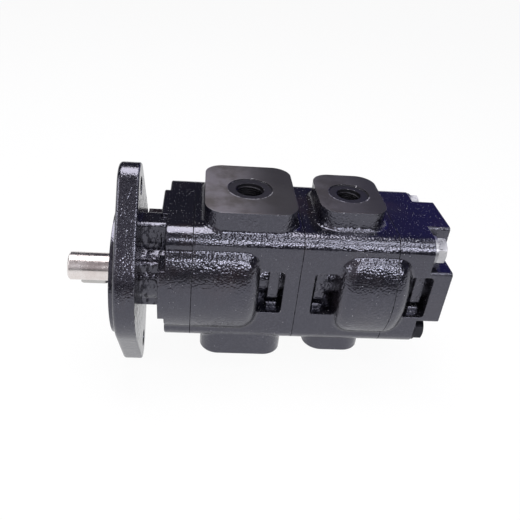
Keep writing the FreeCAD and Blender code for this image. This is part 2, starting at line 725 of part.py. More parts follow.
def make_front_cover():
    body = new_body("front_cover")
    back = size("flange_thickness")
    sketch = new_sketch(body, "flange", "yz", ZERO)
    flange_outline(sketch)
    flange = pad(body, sketch, back)
    front_rim = fillet(body, flange, lambda edge: on_rim(edge, 0.0), size("flange_front_round"))
    fillet(body, front_rim, lambda edge: on_rim(edge, back.value), size("flange_back_round"))
    sketch = new_sketch(body, "neck_arm", "yz", back)
    arm = size("neck_half_height")
    rectangle(sketch, -size("neck_side"), mirrored_y(-size("neck_side")), -arm, arm, size("neck_round"))
    pad(body, sketch, size("neck_length"))
    barrel(body, band_face, joint_1)
    trim(body, "band_trim", band_face, cover_face, size("band_half_height"))
    block = body_block(body, cover_face, joint_1 - cover_face)
    foot = barrel_foot(body, block, cover_face, joint_1)

    def on_front_edge(edge):
        """True for an edge round the cover's front face, above or below the raised band."""
        centre = edge.CenterOfMass
        return on_rim(edge, cover_face.value) and abs(centre.z) > size("band_half_height").value + FLATNESS

    fillet(body, foot, on_front_edge, size("cover_round"))
    sketch = new_sketch(body, "riser", "yz", band_face)
    half = size("riser_half_width")
    rectangle(sketch, middle - half, middle + half, -half_height, half_height)
    riser = pad(body, sketch, size("band_step") + size("cover_round"))

    def on_riser_edge(edge):
        """True for a front edge of the raised strip, above or below the raised band."""
        centre = edge.CenterOfMass
        return on_rim(edge, band_face.value) and abs(centre.z) > size("band_half_height").value + FLATNESS

    fillet(body, riser, on_riser_edge, size("cover_round"))
    sketch = new_sketch(body, "neck_rib", "yz", back)
    half = size("neck_rib_half")
    rectangle(sketch, -half, half, ZERO, size("neck_rib_top"), size("neck_round"))
    pad(body, sketch, cover_face - back)
    sketch = new_sketch(body, "neck_hub", "yz", back)
    circle(sketch, ZERO, ZERO, size("neck_hub_radius"))
    pad(body, sketch, cover_face - back)
    sketch = new_sketch(body, "pilot", "yz", ZERO)
    circle(sketch, ZERO, ZERO, size("pilot_radius"))
    pad(body, sketch, size("pilot_height"), -1)
    ear_places = [(ZERO, size("ear_spacing") / 2 * sign) for sign in (1, -1)]
    round_holes(body, "ear_holes", ZERO, ear_places, size("ear_hole_radius"), back)
    passage = size("drive_journal_radius") + size("shaft_passage_clearance")
    spigot_face = -size("pilot_height")
    round_holes(body, "shaft_passage", spigot_face, [(ZERO, ZERO)], passage, joint_1 - spigot_face)
    seal_room = size("seal_depth") + size("seal_width")
    seal_bore = size("seal_radius") + size("seat_clearance")
    round_holes(body, "seal_bore", spigot_face, [(ZERO, ZERO)], seal_bore, seal_room)
    groove_width = size("ring_thickness") + size("ring_clearance") * 2
    groove_at = spigot_face + size("seal_depth") - groove_width
    round_holes(body, "ring_groove", groove_at, [(ZERO, ZERO)],
                seal_bore + size("ring_groove_depth"), groove_width)
    sketch = new_sketch(body, "bush_bores", "yz", joint_1)
    axis_circles(sketch, drive_bush_bore, bush_bore)
    pocket(body, sketch, bush_bore_depth, -1)
    round_holes(body, "tapped_holes", joint_1, bolt_places(), size("bolt_radius") + size("thread_fit"),
                size("thread_engagement") + size("tap_overrun"), -1)
    dowel_holes(body, "dowels", joint_1, -1)
    return body


def make_front_housing():
    body = new_body("front_housing")
    barrel_end = chamber_1_end + size("barrel_overlap")
    barrel(body, joint_1, barrel_end, "end")
    block = body_block(body, joint_1, joint_2 - joint_1)
    barrel_foot(body, block, joint_1, barrel_end)
    windows(body, barrel_end - size("window_overlap"), joint_2 - size("window_web"), "end")
    centre = joint_2 - size("front_port_offset")
    port(body, "top", centre, True, size("front_top_pad_length"), size("front_top_pad_width"),
         size("front_top_thread"))
    port(body, "low", centre, False, size("front_low_pad_length"), size("front_low_pad_width"),
         size("front_low_thread"))
    gear_chamber(body, joint_1, chamber_1_end)
    sketch = new_sketch(body, "bush_bores", "yz", chamber_1_end)
    axis_circles(sketch, bush_bore)
    pocket(body, sketch, bush_bore_depth)
    passage = size("journal_radius") + size("coupling_clearance")
    round_holes(body, "coupling_bore", joint_2, [(ZERO, ZERO)], passage, bearing_wall, -1)
    bolt_hole = size("bolt_radius") + size("bolt_hole_clearance")
    round_holes(body, "bolt_holes", joint_1, bolt_places(), bolt_hole)
    seal_groove(body, joint_1, size("seal_ring_radius"), 1)
    dowel_holes(body, "front_dowels", joint_1, 1)
    dowel_holes(body, "rear_dowels", joint_2, -1)
    return body


def make_rear_housing():
    body = new_body("rear_housing")
    barrel_start = chamber_2_start - size("barrel_overlap")
    barrel(body, barrel_start, joint_3, "start")
    block = body_block(body, joint_2, joint_3 - joint_2)
    barrel_foot(body, block, barrel_start, joint_3)
    windows(body, joint_2 + size("window_web"), barrel_start + size("window_overlap"), "start")
    centre = joint_2 + size("rear_port_offset")
    port(body, "top", centre, True, size("rear_top_pad_length"), size("rear_top_pad_width"),
         size("rear_top_thread"))
    port(body, "low", centre, False, size("rear_low_pad_length"), size("rear_low_pad_width"),
         size("rear_low_thread"))
    gear_chamber(body, chamber_2_start, joint_3)
    sketch = new_sketch(body, "bush_bores", "yz", chamber_2_start)
    axis_circles(sketch, bush_bore)
    pocket(body, sketch, bush_bore_depth, -1)
    passage = size("journal_radius") + size("coupling_clearance")
    round_holes(body, "coupling_bore", joint_2, [(ZERO, ZERO)], passage, bearing_wall)
    bolt_hole = size("bolt_radius") + size("bolt_hole_clearance")
    round_holes(body, "bolt_holes", joint_2, bolt_places(), bolt_hole)
    seal_groove(body, joint_2, size("middle_seal_radius"), 1)
    dowel_holes(body, "front_dowels", joint_2, 1)
    dowel_holes(body, "rear_dowels", joint_3, -1)
    return body


def make_rear_cover():
    body = new_body("rear_cover")
    barrel_end = joint_3 + size("rear_barrel_length")
    barrel(body, joint_3, barrel_end, "end")
    block = body_block(body, joint_3, rear_seat - joint_3)
    barrel_foot(body, block, joint_3, barrel_end)
    arm, half = size("arm_half_height"), size("arm_half_width")
    sketch = new_sketch(body, "level_arm", "yz", rear_seat)
    rectangle(sketch, near_side, far_side, -arm, arm, size("arm_round"))
    pad(body, sketch, size("arm_depth"))
    sketch = new_sketch(body, "upright_arm", "yz", rear_seat)
    rectangle(sketch, middle - half, middle + half, -half_height, half_height, size("arm_round"))
    pad(body, sketch, size("arm_depth"))
    start = barrel_end - size("window_overlap")
    windows(body, start, start + size("rear_window_length"), "end")
    sketch = new_sketch(body, "bush_bores", "yz", joint_3)
    axis_circles(sketch, bush_bore)
    pocket(body, sketch, bush_bore_depth)
    round_holes(body, "bolt_holes", joint_3, bolt_places(),
                size("bolt_radius") + size("bolt_hole_clearance"), rear_seat - joint_3)
    seal_groove(body, joint_3, size("seal_ring_radius"), 1)
    dowel_holes(body, "dowels", joint_3, 1)
    return body


def involute(angle):
    return math.tan(angle) - angle


def tooth_outline(teeth, module, pressure, thinning, root_factor, root_fillet):
    """One closed gear outline in the YZ plane round the origin; a tooth points along +Y."""
    pitch = module * teeth / 2
    base = pitch * math.cos(pressure)
    tip = pitch + module
    root = pitch - module * root_factor
    half_tooth = math.pi / (2 * teeth) - thinning / (2 * pitch)

    def flank_angle(radius):
        """Half the tooth's angle at a radius; below the base circle the flank is radial."""
        contact = math.acos(min(1.0, base / radius))
        return half_tooth + involute(pressure) - involute(contact)

    def spot(radius, angle):
        return FreeCAD.Vector(0, radius * math.cos(angle), radius * math.sin(angle))

    fillet_centre = root + root_fillet
    foot = math.sqrt(fillet_centre ** 2 - root_fillet ** 2)
    foot_angle = flank_angle(base)
    bend_angle = math.asin(root_fillet / fillet_centre)
    gap_end = 2 * math.pi / teeth
    edges = []
    for tooth in range(teeth):
        turn = 2 * math.pi * tooth / teeth
        radii = [base + (tip - base) * (k / (FLANK_POINTS - 1)) ** FLANK_SPREAD for k in range(FLANK_POINTS)]
        rising = Part.BSplineCurve()
        rising.interpolate([spot(r, turn - flank_angle(r)) for r in radii])
        falling = Part.BSplineCurve()
        falling.interpolate([spot(r, turn + flank_angle(r)) for r in reversed(radii)])
        half_tip = flank_angle(tip)
        tip_arc = Part.Arc(spot(tip, turn - half_tip), spot(tip, turn), spot(tip, turn + half_tip))
        rising_foot = Part.LineSegment(spot(foot, turn - foot_angle), spot(base, turn - foot_angle))
        falling_foot = Part.LineSegment(spot(base, turn + foot_angle), spot(foot, turn + foot_angle))
        edges.append(rising_foot.toShape())
        edges.append(rising.toShape())
        edges.append(tip_arc.toShape())
        edges.append(falling.toShape())
        edges.append(falling_foot.toShape())
        first_end = turn + foot_angle + bend_angle
        second_start = turn + gap_end - foot_angle - bend_angle
        for centre_angle, sign in ((first_end, 1), (second_start, -1)):
            centre = spot(fillet_centre, centre_angle)
            flank_end = spot(foot, centre_angle - sign * bend_angle)
            root_end = spot(root, centre_angle)
            bulge = (flank_end - centre).normalize() + (root_end - centre).normalize()
            through = centre + bulge.normalize() * root_fillet
            ends = (flank_end, through, root_end) if sign > 0 else (root_end, through, flank_end)
            if sign < 0:
                edges.append(Part.Arc(spot(root, first_end), spot(root, (first_end + second_start) / 2),
                                      spot(root, second_start)).toShape())
            edges.append(Part.Arc(*ends).toShape())
    return Part.Wire(edges)


def gear_teeth(name, start, width, driven):
    """The toothed body of one gear; the driven gear's tooth gap meets the drive gear's tooth."""
    teeth = int(round(size("gear_teeth").value))
    wire = tooth_outline(teeth, size("gear_module").value, math.radians(size("pressure_angle").value),
                         size("tooth_thinning").value, size("root_factor").value, size("root_fillet").value)
    feature = doc.addObject("Part::Feature", name)
    feature.Shape = Part.Face(wire).extrude(FreeCAD.Vector(width.value, 0, 0))
    turn = HALF_TURN + HALF_TURN / teeth if driven else 0.0
    offset = centre_distance.value if driven else 0.0
    feature.Placement = FreeCAD.Placement(FreeCAD.Vector(start.value, offset, 0),
                                          FreeCAD.Rotation(FreeCAD.Vector(1, 0, 0), turn))
    return feature


def turned_shaft(name, across, steps, chamfer):
    """A stepped shaft; steps are (end, radius) pairs after the start, chamfered at both ends."""
    body = new_body(name)
    sketch = new_sketch(body, "profile", "xy", ZERO, across=across)
    start = steps[0][0]
    corners = [(start, ZERO), (steps[-1][0], ZERO)]
    cut = ("chamfer", chamfer)
    last = len(steps) - 1
    for i in range(last, 0, -1):
        end, radius = steps[i]
        begin = steps[i - 1][0]
        corners.append((end, radius) + (cut if i == last else ()))
        corners.append((begin, radius) + (cut if i == 1 else ()))
    outline(sketch, corners)
    revolve(body, sketch)
    return body


def add_spline(body, start, length):
    """Straight splines on a shaft's tail."""
    sketch = new_sketch(body, "spline", "yz", start)
    half = size("spline_width") / 2
    rectangle(sketch, -half, half, ZERO, size("spline_outer"))
    feature = pad(body, sketch, length)
    polar(body, feature, sketch, size("spline_count"))


def join(name, pieces):
    fused = doc.addObject("Part::MultiFuse", name)
    fused.Shapes = pieces
    fused.Refine = True
    fused.Label = name
    return fused


def make_front_drive_gear():
    """The drive shaft: keyed end, seal land, journals, gear and splined tail in one piece."""
    gear_start = joint_1 + plate_room
    gear_end = gear_start + size("front_gear_width")
    journal_end = chamber_1_end + journal_length
    tail_end = joint_2 - size("spline_end_gap")
    shaft = turned_shaft("front_drive_shaft_blank", None, [
        (-size("shaft_length"), ZERO),
        (-size("shaft_step_at"), size("shaft_radius")),
        (gear_start + size("front_gear_width") / 2, size("drive_journal_radius")),
        (journal_end, size("journal_radius")),
        (tail_end, size("spline_inner")),
    ], size("shaft_chamfer"))
    add_spline(shaft, journal_end, tail_end - journal_end - size("shaft_chamfer"))
    sketch = new_sketch(shaft, "keyseat", "xy", -(size("shaft_radius") - size("key_seat_depth")))
    slack = size("key_clearance")
    half = size("key_width") / 2 + slack
    start = size("key_end") - size("shaft_length") - slack
    rectangle(sketch, start, start + size("key_length") + slack * 2, -half, half, half - END_FLAT)
    pocket(shaft, sketch, size("shaft_radius"), -1)
    teeth = gear_teeth("front_drive_teeth", gear_start, gear_end - gear_start, False)
    return join("front_drive_gear", [shaft, teeth])


def make_driven_gear(name, front_journal, gear_start, gear_width, rear_journal):
    shaft = turned_shaft(name + "_blank", centre_distance, [
        (front_journal, ZERO),
        (rear_journal, size("journal_radius")),
    ], size("shaft_chamfer"))
    teeth = gear_teeth(name + "_teeth", gear_start, gear_width, True)
    return join(name, [shaft, teeth])


def make_rear_drive_gear():
    gear_start = chamber_2_start + plate_room
    journal_start = chamber_2_start - journal_length
    tail_start = joint_2 + size("spline_end_gap")
    shaft = turned_shaft("rear_drive_shaft_blank", None, [
        (tail_start, ZERO),
        (journal_start, size("spline_inner")),
        (joint_3 + journal_length, size("journal_radius")),
    ], size("shaft_chamfer"))
    chamfer = size("shaft_chamfer")
    add_spline(shaft, tail_start + chamfer, journal_start - tail_start - chamfer)
    teeth = gear_teeth("rear_drive_teeth", gear_start, size("rear_gear_width"), False)
    return join("rear_drive_gear", [shaft, teeth])


def make_coupling():
    body = new_body("spline_coupling")
    half = size("coupling_half")
    start = joint_2 - half
    sketch = new_sketch(body, "sleeve", "yz", start)
    circle(sketch, ZERO, ZERO, size("journal_radius"))
    circle(sketch, ZERO, ZERO, size("spline_inner") + size("spline_clearance"))
    pad(body, sketch, half * 2)
    sketch = new_sketch(body, "spline_slot", "yz", start)
    width = size("spline_width") / 2 + size("spline_clearance")
    rectangle(sketch, -width, width, ZERO, size("spline_outer") + size("spline_clearance"))
    feature = pocket(body, sketch, half * 2)
    polar(body, feature, sketch, size("spline_count"))
    return body


def make_key():
    body = new_body("drive_key")
    floor = -(size("shaft_radius") - size("key_seat_depth"))
    sketch = new_sketch(body, "plan", "xy", floor)
    half = size("key_width") / 2
    start = size("key_end") - size("shaft_length")
    rectangle(sketch, start, start + size("key_length"), -half, half, half - END_FLAT)
    pad(body, sketch, size("key_width"), -1)
    return body


def make_wear_plate(name, start, drive_radius, gear_side):
    """A plate beside the gears, with a relief pocket on each side of the mesh."""
    body = new_body(name)
    sketch = new_sketch(body, "plate", "yz", start)
    figure_eight(sketch, bore_radius - size("plate_clearance"))
    pad(body, sketch, size("plate_thickness"))
    slack = size("plate_hole_clearance")
    sketch = new_sketch(body, "holes", "yz", start)
    axis_circles(sketch, drive_radius + slack, size("journal_radius") + slack)
    pocket(body, sketch, size("plate_thickness"))
    face = start + size("plate_thickness") if gear_side > 0 else start
    sketch = new_sketch(body, "relief", "yz", face)
    half = size("relief_width") / 2
    inner, outer = size("relief_inner"), size("relief_outer")
    for low, high in ((inner, outer), (-outer, -inner)):
        rectangle(sketch, middle - half, middle + half, low, high)
    pocket(body, sketch, size("relief_depth"), -gear_side)
    return body


def cylinder(name, start, across, up, radius, length):
    """A cylinder along X."""
    rod = doc.addObject("Part::Cylinder", name)
    bind(rod, "Radius", radius)
    bind(rod, "Height", length)
    rod.Placement.Rotation = FreeCAD.Rotation(FreeCAD.Vector(0, 1, 0), 90)
    bind(rod, "Placement.Base.x", start)
    bind(rod, "Placement.Base.y", across)
    bind(rod, "Placement.Base.z", up)
    return rod


def ring(name, start, across, up, inner, outer, length):
    """A plain round ring: a bush or a washer."""
    cut = doc.addObject("Part::Cut", name)
    cut.Base = cylinder(name + "_outer", start, across, up, outer, length)
    cut.Tool = cylinder(name + "_inner", start, across, up, inner, length)
    cut.Label = name
    return cut


def make_bushes():
    """One bush on each journal: two in each casting."""
    length = size("bush_length")
    starts = {"front_cover": joint_1 - length, "front_housing": chamber_1_end,
              "rear_housing": chamber_2_start - length, "rear_cover": joint_3}
    bushes = []
    for casting, start in starts.items():
        for place, across in (("drive", ZERO), ("driven", centre_distance)):
            front_drive = casting == "front_cover" and place == "drive"
            journal = size("drive_journal_radius") if front_drive else size("journal_radius")
            outer = drive_bush_radius if front_drive else bush_radius
            name = "%s_%s_bush" % (casting, place)
            inner = journal + size("running_clearance")
            bushes.append(ring(name, start, across, ZERO, inner, outer, length))
    return bushes


def make_shaft_seal():
    """A lip seal, open towards the pump's inside."""
    body = new_body("shaft_seal")
    front = size("seal_depth") - size("pilot_height")
    back = front + size("seal_width")
    lip = size("drive_journal_radius") + size("lip_clearance")
    skin = size("seal_skin")
    lip_end = front + size("lip_length")
    sketch = new_sketch(body, "profile", "xy", ZERO)
    outline(sketch, [(front, lip), (lip_end, lip), (lip_end, lip + skin), (front + skin, lip + skin),
                     (front + skin, size("seal_radius") - skin), (back, size("seal_radius") - skin),
                     (back, size("seal_radius")), (front, size("seal_radius"))])
    revolve(body, sketch)
    return body


def make_retaining_ring():
    """An open ring that sits in the groove ahead of the seal."""
    body = new_body("seal_retaining_ring")
    start = size("seal_depth") - size("pilot_height") - size("ring_clearance") - size("ring_thickness")
    outer = size("seal_radius") + size("ring_groove_depth") - size("ring_clearance")
    sketch = new_sketch(body, "ring", "yz", start)
    circle(sketch, ZERO, ZERO, outer)
    circle(sketch, ZERO, ZERO, outer - size("ring_width"))
    pad(body, sketch, size("ring_thickness"))
    sketch = new_sketch(body, "gap", "yz", start)
    half = size("ring_gap") / 2
    rectangle(sketch, -half, half, ZERO, outer * 2)
    pocket(body, sketch, size("ring_thickness"))
    return body


def make_joint_seal(name, joint, radius):
    body = new_body(name)
    sketch = new_sketch(body, "track", "yz", joint)
    slot(sketch, ZERO, centre_distance, radius)
    slot(sketch, ZERO, centre_distance, radius + size("seal_ring_width"))
    pad(body, sketch, size("seal_ring_depth"))
    return body


def mirror(name, source, normal, base_y=ZERO):
    copy = doc.addObject("Part::Mirroring", name)
    copy.Source = source
    copy.Normal = normal
    bind(copy, "Base.y", base_y)
    return copy


def at_four_corners(name, source):
    """The piece and its mirror images at the other three bolts, as separate solids."""
    lower = mirror(name + "_lower", source, FreeCAD.Vector(0, 0, 1))
    far = mirror(name + "_far", source, FreeCAD.Vector(0, 1, 0), middle)
    far_lower = mirror(name + "_far_lower", lower, FreeCAD.Vector(0, 1, 0), middle)
    group = doc.addObject("Part::Compound", name)
    group.Links = [source, lower, far, far_lower]
    group.Label = name
    return group


def make_bolts():
    seat = rear_seat + size("washer_thickness")
    tip = joint_1 - size("thread_engagement")
    flats = size("head_across_flats")
    corner = flats * (1 / math.sqrt(3))
    head = doc.addObject("Part::Prism", "bolt_hexagon")
    head.Polygon = 6
    bind(head, "Circumradius", corner)
    bind(head, "Height", size("head_height"))
    head.Placement.Rotation = FreeCAD.Rotation(FreeCAD.Vector(0, 1, 0), 90)
    bind(head, "Placement.Base.x", seat)
    bind(head, "Placement.Base.y", bolt_y)
    bind(head, "Placement.Base.z", bolt_z)
    crown = doc.addObject("Part::Cone", "bolt_crown")
    face_radius = flats * HEAD_FACE_SHARE
    bind(crown, "Radius1", face_radius + size("head_height") * math.sqrt(3))
    bind(crown, "Radius2", face_radius)
    bind(crown, "Height", size("head_height"))
    crown.Placement.Rotation = FreeCAD.Rotation(FreeCAD.Vector(0, 1, 0), 90)
    bind(crown, "Placement.Base.x", seat)
    bind(crown, "Placement.Base.y", bolt_y)
    bind(crown, "Placement.Base.z", bolt_z)
    shaped = doc.addObject("Part::MultiCommon", "bolt_head")
    shaped.Shapes = [head, crown]
    shank = cylinder("bolt_shank", tip, bolt_y, bolt_z, size("bolt_radius"), seat - tip + OVERLAP)
    return at_four_corners("through_bolts", join("bolt", [shank, shaped]))


def make_washers():
    inner = size("bolt_radius") + size("bolt_hole_clearance")
    outer, thickness = size("washer_radius"), size("washer_thickness")
    washer = ring("washer", rear_seat, bolt_y, bolt_z, inner, outer, thickness)
    return at_four_corners("bolt_washers", washer)


def make_dowels():
    pins = []
    length = size("dowel_half") * 2
    for joint_name, joint in (("front", joint_1), ("middle", joint_2), ("rear", joint_3)):
        for number, (y, z) in enumerate(dowel_places()):
            start = joint - size("dowel_half")
            pin_name = "%s_dowel_%d" % (joint_name, number)
            pins.append(cylinder(pin_name, start, y, z, size("dowel_radius"), length))
    group = doc.addObject("Part::Compound", "dowel_pins")
    group.Links = pins
    group.Label = "dowel_pins"
    return group


front_plate_2 = chamber_1_end - size("plate_thickness")
rear_plate_2 = joint_3 - size("plate_thickness")
journal = size("journal_radius")
nodes = [make_front_cover(), make_front_housing(), make_rear_housing(), make_rear_cover(),
         make_shaft_seal(), make_retaining_ring(), make_front_drive_gear(), make_key(),
         make_driven_gear("front_driven_gear", joint_1 - journal_length, joint_1 + plate_room,
                          size("front_gear_width"), chamber_1_end + journal_length),
         make_coupling(), make_rear_drive_gear(),
         make_driven_gear("rear_driven_gear", chamber_2_start - journal_length, chamber_2_start + plate_room,
                          size("rear_gear_width"), joint_3 + journal_length),
         make_wear_plate("front_section_front_plate", joint_1, size("drive_journal_radius"), 1),
         make_wear_plate("front_section_rear_plate", front_plate_2, journal, -1),
         make_wear_plate("rear_section_front_plate", chamber_2_start, journal, 1),
         make_wear_plate("rear_section_rear_plate", rear_plate_2, journal, -1)]
nodes += make_bushes()
nodes += [make_joint_seal("front_joint_seal", joint_1, size("seal_ring_radius")),
          make_joint_seal("middle_joint_seal", joint_2, size("middle_seal_radius")),
          make_joint_seal("rear_joint_seal", joint_3, size("seal_ring_radius")),
          make_bolts(), make_washers(), make_dowels()]
doc.recompute()

for thing in doc.Objects:
    if "Invalid" in thing.State or "Error" in thing.State:
        raise RuntimeError("%s did not rebuild" % thing.Name)
os.makedirs(PARTS_FOLDER, exist_ok=True)
for node in nodes:
    shape = node.Shape
    if shape.isNull() or not shape.isValid():
        raise RuntimeError("%s has no valid shape" % node.Label)
for node in nodes:
    node.Shape.exportStep(os.path.join(PARTS_FOLDER, node.Label + ".step"))
    print(node.Label, len(node.Shape.Solids), "solids", round(node.Shape.Volume / 1000, 2), "cm3")
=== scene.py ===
# %% [markdown]
# # A tandem gear pump around its CAD solids
#
# The object is a hydraulic gear pump with two pumping sections behind one drive shaft: four painted
# iron castings, held together by four long bolts, with bare machined faces where hoses bolt on.
# The CAD solids already have its shape, so this lesson gives them light, paint, machined metal and
# wear, and adds the one form that is too fine for the solids: the threads in the ports.

import math

import bpy
from mathutils import Matrix, Vector


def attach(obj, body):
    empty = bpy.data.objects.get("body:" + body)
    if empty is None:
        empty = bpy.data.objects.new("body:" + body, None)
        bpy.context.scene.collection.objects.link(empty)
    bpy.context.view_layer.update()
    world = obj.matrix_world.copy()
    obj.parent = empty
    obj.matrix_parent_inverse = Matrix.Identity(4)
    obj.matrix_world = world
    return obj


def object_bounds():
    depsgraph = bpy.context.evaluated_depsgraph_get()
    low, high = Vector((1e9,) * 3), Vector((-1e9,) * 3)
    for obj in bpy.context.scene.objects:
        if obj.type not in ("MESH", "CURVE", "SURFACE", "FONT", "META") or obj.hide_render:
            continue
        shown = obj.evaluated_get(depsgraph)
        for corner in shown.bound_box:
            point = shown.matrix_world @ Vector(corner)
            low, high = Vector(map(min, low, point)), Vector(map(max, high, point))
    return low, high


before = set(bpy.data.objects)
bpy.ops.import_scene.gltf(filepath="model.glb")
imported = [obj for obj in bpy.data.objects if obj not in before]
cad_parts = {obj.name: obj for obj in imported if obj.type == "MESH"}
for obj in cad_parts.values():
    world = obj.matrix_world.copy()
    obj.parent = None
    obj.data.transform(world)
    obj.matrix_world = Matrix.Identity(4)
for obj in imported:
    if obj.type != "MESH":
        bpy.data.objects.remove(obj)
cad_low, cad_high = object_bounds()
MILLIMETRE = 0.001
print("the pump's box in millimetres:",
      [round((high - low) / MILLIMETRE, 1) for low, high in zip(cad_low, cad_high)])

# %% [markdown]
# ## The camera
#
# The photograph looks down on the pump's side from about 31 degrees, a little turned and a little
# rolled. A camera could be aimed with a Track To constraint, but then its roll can't be set, so its
# three axes are worked out from three angles. Place, angles and focal length were fitted to the
# pump's corners in the photograph, and the shift puts the lens's middle where it was there.

# %% Aim the camera
camera_place = Vector((57.56, -384.31, 266.72)) * MILLIMETRE
camera_turn, camera_tilt, camera_roll = (math.radians(angle) for angle in (5.10, -31.51, 5.13))

ahead = Vector((math.sin(camera_turn) * math.cos(camera_tilt),
                math.cos(camera_turn) * math.cos(camera_tilt),
                math.sin(camera_tilt)))
level_right = Vector((math.cos(camera_turn), -math.sin(camera_turn), 0))
level_up = level_right.cross(ahead)
right = math.cos(camera_roll) * level_right + math.sin(camera_roll) * level_up
up = math.cos(camera_roll) * level_up - math.sin(camera_roll) * level_right
print("the camera looks along", [round(part, 2) for part in ahead])

# %% Set up the camera
FRAME_PIXELS = 520
FOCUS_PIXELS = 579.07
LENS_MIDDLE_PIXELS = 240
SENSOR_WIDTH = 36

camera_data = bpy.data.cameras.new("photo_camera")
camera_data.sensor_width = SENSOR_WIDTH
camera_data.lens = SENSOR_WIDTH * FOCUS_PIXELS / FRAME_PIXELS
off_centre = (FRAME_PIXELS / 2 - LENS_MIDDLE_PIXELS) / FRAME_PIXELS
camera_data.shift_x = off_centre
camera_data.shift_y = -off_centre
camera = bpy.data.objects.new("photo_camera", camera_data)
bpy.context.scene.collection.objects.link(camera)
camera_axes = Matrix((right, up, -ahead)).transposed().to_4x4()
camera.matrix_world = Matrix.Translation(camera_place) @ camera_axes
bpy.context.scene.camera = camera
bpy.context.scene.view_settings.view_transform = "Standard"
print("lens in millimetres:", round(camera_data.lens, 2))

# %% [markdown]
# ## Small helpers for shader nodes
#
# A material could be wired by hand in the shader editor. In a script the same wiring repeats a lot,
# so a few short helpers add a node, fill its inputs from numbers or from other nodes, and hand back
# what comes out.

# %% Adding nodes
def feed(tree, socket, value):
    """Fills an input from a number, a colour or another node's output."""
    if isinstance(value, bpy.types.NodeSocket):
        tree.links.new(value, socket)
    else:
        socket.default_value = value


def add_node(tree, kind, inputs=None, **settings):
    """Adds one node with its settings and its inputs."""
    made = tree.nodes.new(kind)
    for name, value in settings.items():
        setattr(made, name, value)
    for name, value in (inputs or {}).items():
        feed(tree, made.inputs[name], value)
    return made


def position(tree):
    """Where the point lies on the object, in metres."""
    return add_node(tree, "ShaderNodeTexCoord").outputs["Object"]


def split(tree, vector):
    """A vector's three parts, by the names X, Y and Z."""
    return add_node(tree, "ShaderNodeSeparateXYZ", {"Vector": vector}).outputs


def noise(tree, place, scale, detail=2.0, roughness=0.5):
    """Soft random values from 0 to 1, with scale lumps to the metre."""
    made = add_node(tree, "ShaderNodeTexNoise",
                    {"Vector": place, "Scale": scale, "Detail": detail, "Roughness": roughness})
    return made.outputs["Fac"]

# %% Arithmetic between nodes
def work_out(tree, operation, first, *others, clamp=False):
    """Arithmetic on numbers or outputs, with one node for each value after the first."""
    for other in others or [None]:
        made = add_node(tree, "ShaderNodeMath", operation=operation, use_clamp=clamp)
        feed(tree, made.inputs[0], first)
        if other is not None:
            feed(tree, made.inputs[1], other)
        first = made.outputs["Value"]
    return first


def plus(tree, *values):
    """The sum of the values."""
    return work_out(tree, "ADD", *values)


def minus(tree, first, second):
    """What is left of the first value."""
    return work_out(tree, "SUBTRACT", first, second)


def times(tree, *values):
    """The product of the values. Of masks it leaves what lies in all of them."""
    return work_out(tree, "MULTIPLY", *values)


def most(tree, *values):
    """The largest value. Of masks it gives what lies in any of them."""
    return work_out(tree, "MAXIMUM", *values)


def gap_to(tree, value, mark):
    """How far a value is from a mark, either way."""
    return work_out(tree, "ABSOLUTE", minus(tree, value, mark))


def length_of(tree, first, second):
    """How far a point is from where both values are 0."""
    sizes = [work_out(tree, "ABSOLUTE", side) for side in (first, second)]
    squares = [work_out(tree, "POWER", size, 2.0) for size in sizes]
    return work_out(tree, "SQRT", plus(tree, *squares))

# %% Fading and mixing
def fade(tree, value, start, end, low=0.0, high=1.0):
    """Runs smoothly from low to high as the value goes from start to end."""
    made = add_node(tree, "ShaderNodeMapRange", interpolation_type="SMOOTHSTEP")
    for name, amount in zip(("Value", "From Min", "From Max", "To Min", "To Max"),
                            (value, start, end, low, high)):
        feed(tree, made.inputs[name], amount)
    return made.outputs["Result"]


def mix_colour(tree, amount, first, second):
    """Goes from the first colour to the second as the amount goes from 0 to 1."""
    made = add_node(tree, "ShaderNodeMix", data_type="RGBA")
    for place, value in zip((0, 6, 7), (amount, first, second)):
        feed(tree, made.inputs[place], value)
    return made.outputs[2]


def mix_number(tree, amount, first, second):
    """Goes from the first number to the second as the amount goes from 0 to 1."""
    made = add_node(tree, "ShaderNodeMix", data_type="FLOAT")
    for place, value in zip((0, 2, 3), (amount, first, second)):
        feed(tree, made.inputs[place], value)
    return made.outputs[0]


def colour_of(red, green, blue):
    """A solid colour from its three parts."""
    return (red, green, blue, 1.0)


def grey(level, blue=1.0, red=1.0):
    """A nearly grey colour, tinted a little."""
    return colour_of(level * red, level, level * blue)

# %% [markdown]
# ## Floor, backdrop and light
#
# The photograph has a plain white ground in a dim room. A black glossy paint shows its surroundings
# more than its own colour, so they matter here: the white floor makes the upright faces slate grey,
# and the dim room keeps the flat tops nearly black. The floor could be a plain plane, but then its
# far edge would show. This one is a disc whose rim sweeps up into a low wall: a ring of edges that
# is extruded and widened step by step, with its inside filled at the end.

# %% Build the floor and its low wall
def start_clean():
    """Leaves nothing selected, so that the next operator acts on the new piece only."""
    if bpy.context.object and bpy.context.object.mode == "EDIT":
        bpy.ops.object.mode_set(mode="OBJECT")
    bpy.ops.object.select_all(action="DESELECT")


FLOOR_LEVEL = cad_low.z - 0.0005
FLOOR_MIDDLE = (0.1, 0.02, FLOOR_LEVEL)
FLOOR_RADIUS = 2.6
FLOOR_CORNERS = 96
WALL_HEIGHT = 0.40
SWEEP_STEPS = 10
# The steps of a quarter turn add up to less than its height, so each is made longer.
SWEEP_STRETCH = 1.5
NO_HEIGHT = 0.0001

